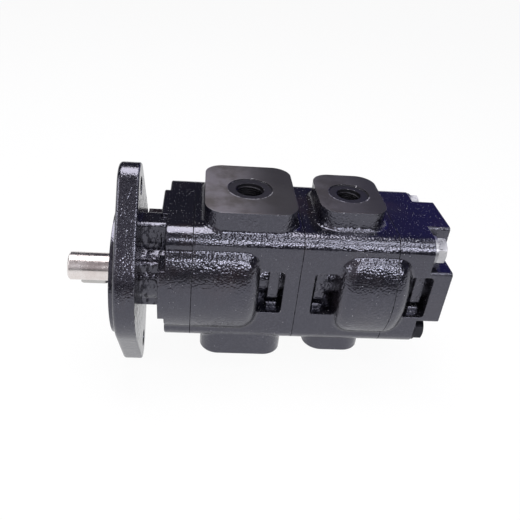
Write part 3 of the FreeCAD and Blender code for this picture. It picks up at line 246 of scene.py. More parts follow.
start_clean()
bpy.ops.mesh.primitive_circle_add(vertices=FLOOR_CORNERS, radius=FLOOR_RADIUS, fill_type="NOTHING",
                                  location=FLOOR_MIDDLE)
floor = bpy.context.object
floor.name = "studio_floor"
bpy.ops.object.mode_set(mode="EDIT")
bpy.ops.mesh.select_mode(type="EDGE")
bpy.ops.mesh.select_all(action="SELECT")
for step in range(SWEEP_STEPS):
    lean = math.radians(90 * (step + 0.5) / SWEEP_STEPS)
    rise = WALL_HEIGHT * math.sin(lean) / SWEEP_STEPS * SWEEP_STRETCH
    grow = WALL_HEIGHT * math.cos(lean) / SWEEP_STEPS * SWEEP_STRETCH
    factor = 1 + grow / (FLOOR_RADIUS + grow * step)
    bpy.ops.mesh.extrude_edges_move(TRANSFORM_OT_translate={"value": (0, 0, rise)})
    bpy.ops.transform.resize(value=(factor, factor, 1))
bpy.ops.mesh.select_all(action="DESELECT")
bpy.ops.object.mode_set(mode="OBJECT")
for edge in floor.data.edges:
    edge.select = all(floor.data.vertices[corner].co.z < NO_HEIGHT for corner in edge.vertices)
bpy.ops.object.mode_set(mode="EDIT")
bpy.ops.mesh.edge_face_add()
bpy.ops.object.mode_set(mode="OBJECT")
bpy.ops.object.transform_apply(location=True, rotation=False, scale=False)
bpy.ops.object.shade_smooth()
wall_top = max(vertex.co.z for vertex in floor.data.vertices)
print("the low wall ends", round(wall_top - FLOOR_LEVEL, 2), "m up")

# %% [markdown]
# The floor has to look white without lighting the pump more. A stronger lamp would bleach the pump
# as well, so the floor's material mixes two shaders: a matt white that takes the pump's shadow, and
# a plain white glow that only the camera and reflections see. The photographed table ends in front
# of the pump, so in reflections the white ends there too and the floor beyond it is dim.

# %% Give the floor its white
CLOUDS = 3.0
TABLE_EDGE_FADES = (-1.10, -0.70)
BEYOND_THE_TABLE = grey(0.05)
WHITENING = 0.94

ground = bpy.data.materials.new("studio_ground")
ground.use_nodes = True
tree = ground.node_tree
tree.nodes.clear()
cloudy = noise(tree, position(tree), CLOUDS)
matt = add_node(tree, "ShaderNodeBsdfDiffuse",
                {"Color": mix_colour(tree, cloudy, grey(0.88), grey(0.92))})
rays = add_node(tree, "ShaderNodeLightPath").outputs
on_the_table = fade(tree, split(tree, position(tree))["Y"], *TABLE_EDGE_FADES)
white_there = most(tree, rays["Is Camera Ray"], on_the_table)
glow = add_node(tree, "ShaderNodeEmission",
                {"Color": mix_colour(tree, white_there, BEYOND_THE_TABLE, grey(1.0)), "Strength": 1.0})
seen = most(tree, rays["Is Camera Ray"], rays["Is Glossy Ray"], rays["Is Transmission Ray"])
both = add_node(tree, "ShaderNodeMixShader")
feed(tree, both.inputs[0], times(tree, seen, WHITENING))
tree.links.new(matt.outputs[0], both.inputs[1])
tree.links.new(glow.outputs[0], both.inputs[2])
tree.links.new(both.outputs[0], add_node(tree, "ShaderNodeOutputMaterial").inputs["Surface"])
floor.data.materials.append(ground)
print("the floor's material is", ground.name)

# %% [markdown]
# One large lamp would light the pump softly, but the photograph's paint glitters: each grain of the
# casting mirrors a small bright lamp. So two narrow soft boxes stand in front, and wider ones above,
# on the left and behind fill in. Each is an Area lamp turned towards the middle of the pump.

# %% Hang the lamps
PUMP_MIDDLE = Vector((0.11, 0.02, 0.0))
COOL = (0.97, 0.97, 1.0)
WARM = (1.0, 0.97, 0.98)
PLAIN = (1.0, 1.0, 1.0)
# Name, direction from the pump, distance, width and height in metres, watts and tint.
LAMPS = [
    ("front_left_softbox", (0.06, -0.85, 0.50), 1.35, 0.24, 0.34, 3.6, COOL),
    ("front_right_softbox", (0.42, -0.80, 0.50), 1.35, 0.24, 0.34, 3.6, COOL),
    ("top_softbox", (0.34, -0.46, 0.88), 1.2, 0.60, 0.34, 3.5, COOL),
    ("overhead_softbox", (-0.10, 0.16, 1.0), 1.1, 0.62, 0.80, 12.0, WARM),
    ("left_softbox", (-0.85, -0.30, 0.45), 1.5, 0.6, 0.6, 5.0, PLAIN),
    ("far_softbox", (0.95, 0.25, 1.3), 1.7, 0.5, 0.3, 2.0, PLAIN),
]

for name, direction, distance, width, height, watts, tint in LAMPS:
    lamp_data = bpy.data.lights.new(name, "AREA")
    lamp_data.shape = "RECTANGLE"
    lamp_data.size = width
    lamp_data.size_y = height
    lamp_data.energy = watts
    lamp_data.color = tint
    lamp = bpy.data.objects.new(name, lamp_data)
    bpy.context.scene.collection.objects.link(lamp)
    lamp.location = PUMP_MIDDLE + Vector(direction).normalized() * distance
    lamp.rotation_euler = (lamp.location - PUMP_MIDDLE).to_track_quat("Z", "Y").to_euler()
print("lamps:", [lamp[0] for lamp in LAMPS])

# %% [markdown]
# The room is the world's background. A picture of a room could be used, but a few soft areas are
# enough, each faded in along the ray's direction: the photograph's paint mirrors indigo on the right
# and behind, and a pale window in front on the left. The camera sees plain white instead, as it
# would through glass, so that the pump stands before a white ground from every side.

# %% A dim room
DIM_GREY = colour_of(0.035, 0.035, 0.050)
INDIGO_WALL = colour_of(0.06, 0.05, 0.34)
WINDOW_SIDE = colour_of(0.48, 0.44, 0.46)
# Where each area fades in, along one part of the ray's direction.
TO_THE_RIGHT = (0.05, 0.6)
BEHIND = (-0.2, 0.5)
TO_THE_LEFT = (-0.02, -0.22)
IN_FRONT = (-0.1, -0.4)
NOT_LOW = (0.0, 0.12)

world = bpy.data.worlds.new("dim_room")
bpy.context.scene.world = world
world.use_nodes = True
tree = world.node_tree
tree.nodes.clear()
toward = split(tree, add_node(tree, "ShaderNodeTexCoord").outputs["Generated"])
indigo = times(tree, fade(tree, toward["X"], *TO_THE_RIGHT), fade(tree, toward["Y"], *BEHIND))
room = mix_colour(tree, indigo, DIM_GREY, INDIGO_WALL)
window_light = times(tree, fade(tree, toward["X"], *TO_THE_LEFT), fade(tree, toward["Y"], *IN_FRONT),
                     fade(tree, toward["Z"], *NOT_LOW))
room = mix_colour(tree, window_light, room, WINDOW_SIDE)
rays = add_node(tree, "ShaderNodeLightPath").outputs
backdrop = most(tree, rays["Is Camera Ray"], rays["Is Transmission Ray"])
room = mix_colour(tree, backdrop, room, grey(1.0))
air = add_node(tree, "ShaderNodeBackground", {"Color": room, "Strength": 1.0})
tree.links.new(air.outputs[0], add_node(tree, "ShaderNodeOutputWorld").inputs["Surface"])
print("the world is", world.name)

# %% [markdown]
# ## Effects that several finishes share
#
# Each effect is a node group with its own inputs and outputs, made once and placed in each material
# with that material's values. Copying the nodes into every material would look the same, but a
# group is mended in one place.

# %% Group maker
def new_group(name, inputs, outputs):
    """An empty node group. Inputs are names with their usual values, outputs names with kinds."""
    group = bpy.data.node_groups.new(name, "ShaderNodeTree")
    for label, usual in inputs:
        socket = group.interface.new_socket(label, in_out="INPUT", socket_type="NodeSocketFloat")
        socket.default_value = usual
    for label, kind in outputs:
        group.interface.new_socket(label, in_out="OUTPUT", socket_type="NodeSocket" + kind)
    given = group.nodes.new("NodeGroupInput")
    result = group.nodes.new("NodeGroupOutput")
    return group, given.outputs, result.inputs


def use_group(tree, group, **values):
    """Places a group in a material and fills its inputs; underscores stand for spaces."""
    made = add_node(tree, "ShaderNodeGroup", node_tree=group)
    for name, value in values.items():
        feed(tree, made.inputs[name.replace("_", " ")], value)
    return made.outputs

# %% [markdown]
# The first effect is the skin of a sand casting under paint: rounded grains of one to two
# millimetres with finer grit on them, livelier in some patches and calmer in others, over a slow
# swell. Sculpting or displacing it would need millions of faces. A bump is enough, because the
# grains stand only a fraction of a millimetre proud. Each grain is a dome, not random noise, so
# that it catches one small glint of its own. The group also gives a mask of the grains' tops,
# which the paint uses for a painted highlight on them.

# %% Sand casting
DOME_HEIGHT = 1.25
GRIT_FINENESS = 1.6
GRIT_HEIGHT = 0.35
PATCHES = 55.0
PATCH_RANGE = 0.3
CALMEST = 0.45
SWELLS = 90.0
GRIT_DULLS = 0.22
GRIT_MIDDLE = 0.1
GRIT_IN_GRAIN_HIGHLIGHT = 0.4
GRAIN_HIGHLIGHT_LEVELS = (0.90, 1.18)

cast_skin, given, result = new_group(
    "sand cast skin", [("Grains", 620.0), ("Calm", 0.4), ("Swell", 0.8)],
    [("Height", "Float"), ("Roughness shift", "Float"), ("Painted grain highlight", "Float")])
tree = cast_skin
place = position(tree)
grains = add_node(tree, "ShaderNodeTexVoronoi",
                  {"Vector": place, "Scale": given["Grains"], "Smoothness": 0.2, "Randomness": 1.0},
                  feature="SMOOTH_F1")
domes = minus(tree, 1.0, work_out(tree, "POWER", grains.outputs["Distance"], 2.0))
grit = noise(tree, place, times(tree, given["Grains"], GRIT_FINENESS), roughness=0.6)
patches = noise(tree, place, PATCHES, detail=3.0)
lively = fade(tree, patches, given["Calm"], plus(tree, given["Calm"], PATCH_RANGE), CALMEST, 1.0)
pebbles = plus(tree, times(tree, domes, DOME_HEIGHT), times(tree, grit, GRIT_HEIGHT))
swell = times(tree, noise(tree, place, SWELLS), given["Swell"])
# The grains' tops, which the paint shows paler as a painted highlight.
painted_grain_highlight = fade(tree, plus(tree, times(tree, grit, GRIT_IN_GRAIN_HIGHLIGHT), domes), *GRAIN_HIGHLIGHT_LEVELS)
feed(tree, result["Height"], plus(tree, times(tree, pebbles, lively), swell))
feed(tree, result["Roughness shift"], minus(tree, times(tree, grit, GRIT_DULLS), GRIT_MIDDLE))
feed(tree, result["Painted grain highlight"], times(tree, painted_grain_highlight, lively))
print("made the group", cast_skin.name)

# %% [markdown]
# The second effect finds sharp edges. They could be painted by hand on each piece, but the Bevel
# node finds them all: it looks a short way round each point and gives the normal that a rounded
# edge would have. Where that differs from the true normal the point is on an edge, and a coarse
# noise breaks the line into short bright chips. They are partly worn paint and partly a painted
# highlight along the edges, in hollow corners as well.

# %% Worn edges
NO_EDGE = 0.995
FULL_EDGE = 0.90
NO_CHIPS = 0.78
CHIPS_GROW = 0.4
CHIP_BORDER = 0.06

worn_edge, given, result = new_group(
    "worn edge", [("Width", 0.0006), ("Chip size", 260.0), ("Chip amount", 0.5)],
    [("Edge", "Float"), ("Chips and highlights", "Float"), ("Normal", "Vector")])
tree = worn_edge
rounded = add_node(tree, "ShaderNodeBevel", {"Radius": given["Width"]}, samples=4)
agree = add_node(tree, "ShaderNodeVectorMath", operation="DOT_PRODUCT")
feed(tree, agree.inputs[0], rounded.outputs[0])
feed(tree, agree.inputs[1], add_node(tree, "ShaderNodeNewGeometry").outputs["Normal"])
edge = fade(tree, agree.outputs["Value"], NO_EDGE, FULL_EDGE)
broken = noise(tree, position(tree), given["Chip size"], detail=3.0, roughness=0.65)
limit = minus(tree, NO_CHIPS, times(tree, given["Chip amount"], CHIPS_GROW))
# Broken pale marks along edges, convex and hollow: partly chipped paint, partly a painted highlight.
chips_and_highlights = fade(tree, broken, limit, plus(tree, limit, CHIP_BORDER))
feed(tree, result["Edge"], edge)
feed(tree, result["Chips and highlights"], times(tree, chips_and_highlights, edge))
feed(tree, result["Normal"], rounded.outputs[0])
print("made the group", worn_edge.name)

# %% [markdown]
# Cutters leave lines. Turning leaves fine rings round the shaft's axis, on the face of the flange as
# well as along a shaft, and a face mill leaves wide shallow arcs. A Wave texture would repeat too
# evenly, so both come from one-way noise, which is read along a single distance and so makes lines
# and not lumps.

# %% Turned rings
BROADER = 0.09


def lines(tree, along, detail):
    """Noise that changes along one distance only."""
    made = add_node(tree, "ShaderNodeTexNoise", {"W": along, "Scale": 1.0, "Detail": detail},
                    noise_dimensions="1D")
    return made.outputs["Fac"]


turned_rings, given, result = new_group(
    "turned rings", [("Pitch", 0.0006)], [("Height", "Float"), ("Tone", "Float")])
tree = turned_rings
parts = split(tree, position(tree))
along = plus(tree, parts["X"], length_of(tree, parts["Y"], parts["Z"]))
count = work_out(tree, "DIVIDE", along, given["Pitch"])
fine = lines(tree, count, 3.0)
broad = lines(tree, times(tree, count, BROADER), 2.0)
feed(tree, result["Height"], fine)
feed(tree, result["Tone"], mix_number(tree, 0.6, fine, broad))
print("made the group", turned_rings.name)

# %% Milled arcs
ARCS = 1500.0
HAND_MARKS = 38.0

milled_arcs, given, result = new_group(
    "milled arcs", [("Centre X", 0.3), ("Centre Y", 0.021)], [("Height", "Float"), ("Tone", "Float")])
tree = milled_arcs
parts = split(tree, position(tree))
reach = length_of(tree, *[minus(tree, parts[axis], given["Centre " + axis]) for axis in "XY"])
passes = lines(tree, times(tree, reach, ARCS), 2.0)
handled = noise(tree, position(tree), HAND_MARKS, detail=4.0)
feed(tree, result["Height"], passes)
feed(tree, result["Tone"], mix_number(tree, 0.65, passes, handled))
print("made the group", milled_arcs.name)

# %% [markdown]
# The castings meet at three planes across the shaft. In the photograph each joint is a thin dark
# line with slightly ragged sides, because the paint stops at the gap. The line is painted by the
# distance to the nearest joint plane, with a little noise, and not cut into the shape, which has to
# stay as the CAD made it.

# %% Joint lines
JOINT_PLANES = [55.5, 138.0, 210.5]
RAGGED_SIZE = 330.0
RAGGED_BY = 0.0006
LINE_CORE = 0.55

joint_line, given, result = new_group("joint line", [("Half width", 0.00028)], [("Gap", "Float")])
tree = joint_line
place = position(tree)
parts = split(tree, place)
gaps = [gap_to(tree, parts["X"], plane * MILLIMETRE) for plane in JOINT_PLANES]
nearest = work_out(tree, "MINIMUM", *gaps)
ragged = times(tree, minus(tree, noise(tree, place, RAGGED_SIZE, detail=3.0), 0.5), RAGGED_BY)
core = times(tree, given["Half width"], LINE_CORE)
feed(tree, result["Gap"], fade(tree, plus(tree, nearest, ragged), given["Half width"], core))
print("joint planes in millimetres:", JOINT_PLANES)

# %% [markdown]
# ## Black paint over cast iron
#
# One coat of semi-gloss black covers the castings, thin enough to show the sand grain. The port
# faces, the joint faces and the bores were cut after painting or masked, so they are bare iron.
# Separate materials would need faces of their own on the CAD's mesh, which isn't changed, so one
# material holds both finishes and chooses between them by place.

# %% Where the ports are bare
# Each port's middle along and across the pump and its radius, in millimetres, and 1 for a port on
# top or -1 for one below.
PORTS = {
    "front_housing": [(98.0, 21.0, 11.11, 1), (98.0, 21.0, 16.67, -1)],
    "rear_housing": [(176.5, 21.0, 9.53, 1), (176.5, 21.0, 13.49, -1)],
}
PORT_FACE = 65.0
FACE_LAYER = 0.08
HOLES_END = 28.0
SPOT_MARGIN = 6.5
A_HAIR = 0.05
RIM_WIDTH = 1.1
RIM_CORE = 0.44


def port_masks(tree, node_name, parts):
    """Three masks: flat port faces, holes with their spot faces, and a painted highlight on near rims.
    """
    if node_name not in PORTS:
        return 0.0, 0.0, 0.0
    height = work_out(tree, "ABSOLUTE", parts["Z"])
    flat = work_out(tree, "GREATER_THAN", height, (PORT_FACE - FACE_LAYER) * MILLIMETRE)
    sunk = work_out(tree, "LESS_THAN", height, (PORT_FACE - A_HAIR) * MILLIMETRE)
    holes = 0.0
    rim_highlights = 0.0
    for centre_x, centre_y, radius, side in PORTS[node_name]:
        rim_radius = radius + SPOT_MARGIN
        off = length_of(tree, minus(tree, parts["X"], centre_x * MILLIMETRE),
                        minus(tree, parts["Y"], centre_y * MILLIMETRE))
        within = work_out(tree, "LESS_THAN", off, (rim_radius + A_HAIR) * MILLIMETRE)
        this_side = work_out(tree, "GREATER_THAN", times(tree, parts["Z"], side),
                             HOLES_END * MILLIMETRE)
        holes = most(tree, holes, times(tree, within, this_side, sunk))
        # A thin ring on the near half of each rim, where a painted highlight goes.
        rim_highlight = fade(tree, gap_to(tree, off, rim_radius * MILLIMETRE),
                   RIM_WIDTH * MILLIMETRE, RIM_CORE * MILLIMETRE)
        near_half = fade(tree, parts["Y"], centre_y * MILLIMETRE, (centre_y - radius) * MILLIMETRE)
        rim_highlights = most(tree, rim_highlights, times(tree, rim_highlight, near_half, this_side))
    return flat, holes, rim_highlights

# %% Where cutters left the joints and chambers bare
GEAR_AXES = [0.0, 42.0]
GEAR_BORE = 27.2
CHAMBERS = {"front_housing": (55.5, 105.5), "rear_housing": (170.5, 210.5)}
JOINT_LAYER = 0.02
ALONG_THE_SHAFT = 0.9


def inside(tree, value, low, high):
    """1 between low and high, in millimetres, and 0 outside."""
    return times(tree, work_out(tree, "GREATER_THAN", value, low * MILLIMETRE),
                 work_out(tree, "LESS_THAN", value, high * MILLIMETRE))


def cut_mask(tree, node_name, parts, normal):
    """1 on the joint faces and in the gear chambers."""
    at_a_joint = most(tree, *[inside(tree, parts["X"], plane - JOINT_LAYER, plane + JOINT_LAYER)
                              for plane in JOINT_PLANES])
    faces_it = work_out(tree, "GREATER_THAN", work_out(tree, "ABSOLUTE", normal["X"]),
                        ALONG_THE_SHAFT)
    cut = times(tree, at_a_joint, faces_it)
    if node_name in CHAMBERS:
        for axis in GEAR_AXES:
            off = length_of(tree, minus(tree, parts["Y"], axis * MILLIMETRE), parts["Z"])
            bore = times(tree, work_out(tree, "LESS_THAN", off, GEAR_BORE * MILLIMETRE),
                         inside(tree, parts["X"], *CHAMBERS[node_name]))
            cut = most(tree, cut, bore)
    return cut

# %% [markdown]
# The paint isn't one black. It is dustier and browner in patches and has a few pale specks, more of
# them on the surfaces that face up. The tops of the grains are paler, a painted highlight. It could
# be one colour under a layer of painted dirt, but noises of different sizes that choose between a few
# blacks give the same look and need no picture.

# %% The paint's colour
PAINT = grey(0.003, blue=1.9)
PAINT_DUSTY = grey(0.007, blue=1.25, red=1.08)
PAINT_BROWN = colour_of(0.015, 0.009, 0.008)
PAINTED_GRAIN_HIGHLIGHT = grey(0.024, blue=1.25)
SPECK = colour_of(0.38, 0.38, 0.40)
DUST = 24.0
BROWN_PATCHES = 17.0
BROWN_AMOUNT = 0.7
SPECKS = 1000.0
SPECK_BORDER = 0.03
# The noise where each patch begins and where it is full.
DUSTY = (0.45, 0.75)
BROWN = (0.52, 0.74)
# Where a surface begins to face up and where it fully does, and what that changes the amount to.
LESS_GRAIN_HIGHLIGHT_ON_TOP = (0.5, 0.95, 1.0, 0.15)
MORE_SPECKS_ON_TOP = (0.2, 0.9, 0.76, 0.71)


def paint_colour(tree, place, facing_up, painted_grain_highlight):
    """Black paint with dust, brown patches, a painted highlight on grain tops, and specks."""
    dust = fade(tree, noise(tree, place, DUST, detail=4.0, roughness=0.6), *DUSTY)
    paint = mix_colour(tree, dust, PAINT, PAINT_DUSTY)
    brown = fade(tree, noise(tree, place, BROWN_PATCHES, detail=4.0, roughness=0.65), *BROWN)
    paint = mix_colour(tree, times(tree, brown, BROWN_AMOUNT), paint, PAINT_BROWN)
    # Paler paint on the grains' tops is a painted highlight, with less of it on faces that look up.
    pale = times(tree, painted_grain_highlight, fade(tree, facing_up, *LESS_GRAIN_HIGHLIGHT_ON_TOP))
    paint = mix_colour(tree, pale, paint, PAINTED_GRAIN_HIGHLIGHT)
    rare = fade(tree, facing_up, *MORE_SPECKS_ON_TOP)
    specks = fade(tree, noise(tree, place, SPECKS, detail=1.0), rare, plus(tree, rare, SPECK_BORDER))
    return mix_colour(tree, specks, paint, SPECK)

# %% [markdown]
# The bare iron is stained brown in places, and the port faces darken to the right. The holes and
# the sunk rings round them are nearly black, and their near rims carry a painted highlight.

# %% The bare iron's colour
BARE = colour_of(0.145, 0.138, 0.146)
BARE_LIGHT = colour_of(0.27, 0.256, 0.280)
BARE_BROWN = colour_of(0.072, 0.062, 0.050)
BARE_DARK = colour_of(0.044, 0.042, 0.041)
HOLE_DARK = colour_of(0.028, 0.027, 0.032)
# Pale grey for the edge chips, partly a painted highlight, and for the painted highlight on port rims.
CHIP_AND_HIGHLIGHT_GREY = colour_of(0.45, 0.45, 0.48)
STAINS = 42.0
STAINED = (0.40, 0.66)
STAIN_AMOUNT = 0.75
RIM_HIGHLIGHT_PIECES = 420.0
RIM_HIGHLIGHT_LEVELS = (0.43, 0.55)
# How dark each upper port face is on its left, and how far from the port's middle it darkens.
DARKENING_ON_THE_LEFT = {"front_housing": 0.0, "rear_housing": 0.55}
DARKENING_ON_THE_RIGHT = 0.95
DARKENING_FROM = -26
DARKENING_TO = 22


def iron_colour(tree, node_name, place, parts, milled, flat, holes, rim_highlights):
    """Machined iron with stains, darker to the right, nearly black holes and a painted rim highlight.
    """
    iron = mix_colour(tree, milled, BARE, BARE_LIGHT)
    stain = fade(tree, noise(tree, place, STAINS, detail=5.0, roughness=0.6), *STAINED)
    iron = mix_colour(tree, times(tree, stain, STAIN_AMOUNT), iron, BARE_BROWN)
    if node_name in PORTS:
        middle = PORTS[node_name][0][0]
        # The port faces darken to the right.
        darkened = fade(tree, parts["X"], (middle + DARKENING_FROM) * MILLIMETRE,
                     (middle + DARKENING_TO) * MILLIMETRE, DARKENING_ON_THE_LEFT[node_name], DARKENING_ON_THE_RIGHT)
        iron = mix_colour(tree, darkened, iron, BARE_DARK)
    # The holes and their sunk rings are nearly black.
    iron = mix_colour(tree, holes, iron, HOLE_DARK)
    # The painted highlight on the near rims, broken into pieces.
    broken_highlight = fade(tree, noise(tree, place, RIM_HIGHLIGHT_PIECES, detail=3.0), *RIM_HIGHLIGHT_LEVELS)
    return mix_colour(tree, times(tree, rim_highlights, flat, broken_highlight), iron, CHIP_AND_HIGHLIGHT_GREY)

# %% [markdown]
# The grain isn't even either. Flat sides and tops came off smooth faces of the casting pattern, and
# the mounting face was turned under the paint. The neck behind the flange and a rib in one window
# are lumpy instead. Both are worked out from the place on the casting, since the solids stay
# smooth.

# %% Calm and lumpy places
FLAT_SIDES = [-27.0, 69.0]
FACES_UP = (0.90, 0.985)
MOUNTING_FACE = (0.6, 0.2)
SIDE_LAYER = (0.5, 0.05)
# Lumps to the metre, their height, and the box that holds them, in millimetres.
LUMPY = {
    "front_cover": (230.0, 3.0, [(15.5, 31.5), (-60.0, 90.0), (-46.0, 46.0)]),
    "rear_housing": (280.0, 3.5, [(152.6, 160.4), (-20.2, -18.6), (-21.0, 21.0)]),
}
SOFT_ENDS = 0.6


def layer(tree, value, limits):
    """Fades in as a distance goes from the first limit to the second, in millimetres."""
    return fade(tree, value, *[limit * MILLIMETRE for limit in limits])


def calm_of(tree, node_name, parts, facing_up):
    """1 on flat sides and tops, where the pattern was smooth, and on the turned mounting face."""
    calm = fade(tree, facing_up, *FACES_UP)
    if node_name == "front_cover":
        return most(tree, calm, layer(tree, parts["X"], MOUNTING_FACE))
    on_sides = [layer(tree, gap_to(tree, parts["Y"], side * MILLIMETRE), SIDE_LAYER)
                for side in FLAT_SIDES]
    return most(tree, calm, *on_sides)


def between(tree, value, low, high):
    """1 where the value in millimetres lies between two limits and 0 elsewhere, with soft ends."""
    rising = layer(tree, value, (low - SOFT_ENDS, low + SOFT_ENDS))
    falling = layer(tree, value, (high + SOFT_ENDS, high - SOFT_ENDS))
    return times(tree, rising, falling)


def lumps_of(tree, node_name, place, parts):
    """Extra height where the casting is rough."""
    if node_name not in LUMPY:
        return 0.0
    scale, amount, box = LUMPY[node_name]
    mask = times(tree, *[between(tree, parts[axis], *limits) for axis, limits in zip("XYZ", box)])
    cells = add_node(tree, "ShaderNodeTexVoronoi", {"Vector": place, "Scale": scale, "Smoothness": 0.5},
                     feature="SMOOTH_F1")
    knobs = work_out(tree, "SUBTRACT", 0.8, cells.outputs["Distance"], clamp=True)
    return times(tree, knobs, amount, mask)

# %% [markdown]
# Now the pieces come together in one material for each casting. Colour, metal, roughness and height
# each go from paint to bare iron by the same masks, so that the border lies in one place. The edge
# chips, partly a painted highlight, lie on top of both, and the joint lines on top of all.

# %% The castings' material
PAINT_SHEEN = colour_of(0.83, 0.83, 1.0)
PAINT_IOR = 1.85
PAINT_ROUGH = 0.165
IRON_ROUGH = 0.40
MILLED_ROUGH = 0.18
GAP = colour_of(0.001, 0.001, 0.001)
GAP_ROUGH = 0.8
IRON_METAL = 0.8
CHIP_AND_HIGHLIGHT_METAL = 0.7
CHIP_DEPTH = 0.8
FEWER_ON_CUTS = 0.8
MILLED_HEIGHT = 0.10
TURNED_HEIGHT = 0.14
SKIN_DEPTH = 0.00030
CALM_SHARE = 0.35


def new_material(name):
    """A material with its node tree and its Principled shader."""
    material = bpy.data.materials.new(name)
    material.use_nodes = True
    return material, material.node_tree, material.node_tree.nodes["Principled BSDF"]


def emboss(tree, shader, height, depth, **normal):
    """Tilts the light on the surface by a height that is worth this depth in metres."""
    bump = add_node(tree, "ShaderNodeBump",
                    {"Height": height, "Strength": 1.0, "Distance": depth, **normal})
    tree.links.new(bump.outputs[0], shader.inputs["Normal"])


def painted_iron(node_name, grains, liveliness):
    """Black paint on sand-cast iron, bare where a cutter went, worn at its edges."""
    material, tree, shader = new_material("painted_" + node_name)
    place = position(tree)
    parts = split(tree, place)
    normal = split(tree, add_node(tree, "ShaderNodeNewGeometry").outputs["Normal"])
    skin = use_group(tree, cast_skin, Grains=grains, Calm=0.42)
    worn = use_group(tree, worn_edge, Width=0.0010, Chip_size=300.0, Chip_amount=0.46)
    mill = use_group(tree, milled_arcs, Centre_X=0.32)
    turn = use_group(tree, turned_rings, Pitch=0.0007)
    joint = use_group(tree, joint_line)

    flat, holes, rim_highlights = port_masks(tree, node_name, parts)
    cut = cut_mask(tree, node_name, parts, normal)
    bare = most(tree, flat, holes, cut)
    # Edge chips: partly bare iron where the paint chipped, partly a painted highlight.
    chips_and_highlights = times(tree, worn["Chips and highlights"], minus(tree, 1.0, times(tree, cut, FEWER_ON_CUTS)))
    gap = times(tree, joint["Gap"], minus(tree, 1.0, cut))

    paint = paint_colour(tree, place, normal["Z"], skin["Painted grain highlight"])
    iron = iron_colour(tree, node_name, place, parts, mill["Tone"], flat, holes, rim_highlights)
    colour = mix_colour(tree, bare, paint, iron)
    colour = mix_colour(tree, chips_and_highlights, colour, CHIP_AND_HIGHLIGHT_GREY)
    feed(tree, shader.inputs["Base Color"], mix_colour(tree, gap, colour, GAP))
    feed(tree, shader.inputs["Metallic"],
         most(tree, times(tree, bare, IRON_METAL), times(tree, chips_and_highlights, CHIP_AND_HIGHLIGHT_METAL), gap))

    paint_rough = plus(tree, PAINT_ROUGH, skin["Roughness shift"])
    iron_rough = plus(tree, IRON_ROUGH, times(tree, mill["Tone"], MILLED_ROUGH))
    rough = mix_number(tree, bare, paint_rough, iron_rough)
    feed(tree, shader.inputs["Roughness"], mix_number(tree, gap, rough, GAP_ROUGH))
    shader.inputs["IOR"].default_value = PAINT_IOR
    shader.inputs["Specular Tint"].default_value = PAINT_SHEEN

    calm = calm_of(tree, node_name, parts, normal["Z"])
    cast_height = minus(tree, skin["Height"], times(tree, worn["Chips and highlights"], CHIP_DEPTH))
    cast_height = times(tree, cast_height, mix_number(tree, calm, liveliness, CALM_SHARE))
    cast_height = plus(tree, cast_height, lumps_of(tree, node_name, place, parts))
    cut_height = mix_number(tree, cut, times(tree, mill["Height"], MILLED_HEIGHT),
                            times(tree, turn["Height"], TURNED_HEIGHT))
    emboss(tree, shader, mix_number(tree, bare, cast_height, cut_height), SKIN_DEPTH,
           Normal=worn["Normal"])
    return material

# %% Paint the castings
# Grains to the metre, and how lively the grain is.
CAST_GRAIN = {
    "front_cover": (640.0, 0.55),
    "front_housing": (550.0, 1.0),
    "rear_housing": (550.0, 1.0),
    "rear_cover": (600.0, 0.8),
}
dressed = set()


def dress(node_names, material):
    """Puts the material on each of these CAD solids."""
    for node_name in node_names:
        for material_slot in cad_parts[node_name].material_slots:
            material_slot.material = material
    dressed.update(node_names)


for node_name, grain in CAST_GRAIN.items():
    dress([node_name], painted_iron(node_name, *grain))
print("painted:", sorted(dressed))

# %% [markdown]
# ## Steel and bronze
#
# The shaft is ground steel with a few rust marks and a brown cast where it was handled. Bolts and
# washers are zinc plated, and the lower ones are nearly black. The gears inside are ground, and the
# bushes and wear plates are bronze. Each could have a material of its own, but they share one recipe
# with different colours, so one function makes them all. The tone changes in patches and rings, and
# edges are rubbed bright, because metal of one even tone looks like foil.

# %% Metal finishes
TONE_PATCHES = 60.0
PATCHY = (0.3, 0.7)
RINGS_SHARE = 0.45
EDGE_SHINE = 0.5
MARK_BORDER = 0.08
MARK_DULLS = 0.3
MARK_HIDES = 0.7
PATCH_DULLS = 0.12
SCRATCHES = 900.0
SCRATCH_HEIGHT = 0.6
LOWER_DARK_GREY = grey(0.03, blue=1.2)
LOWER_DARK_FADES = (0.01, -0.01)


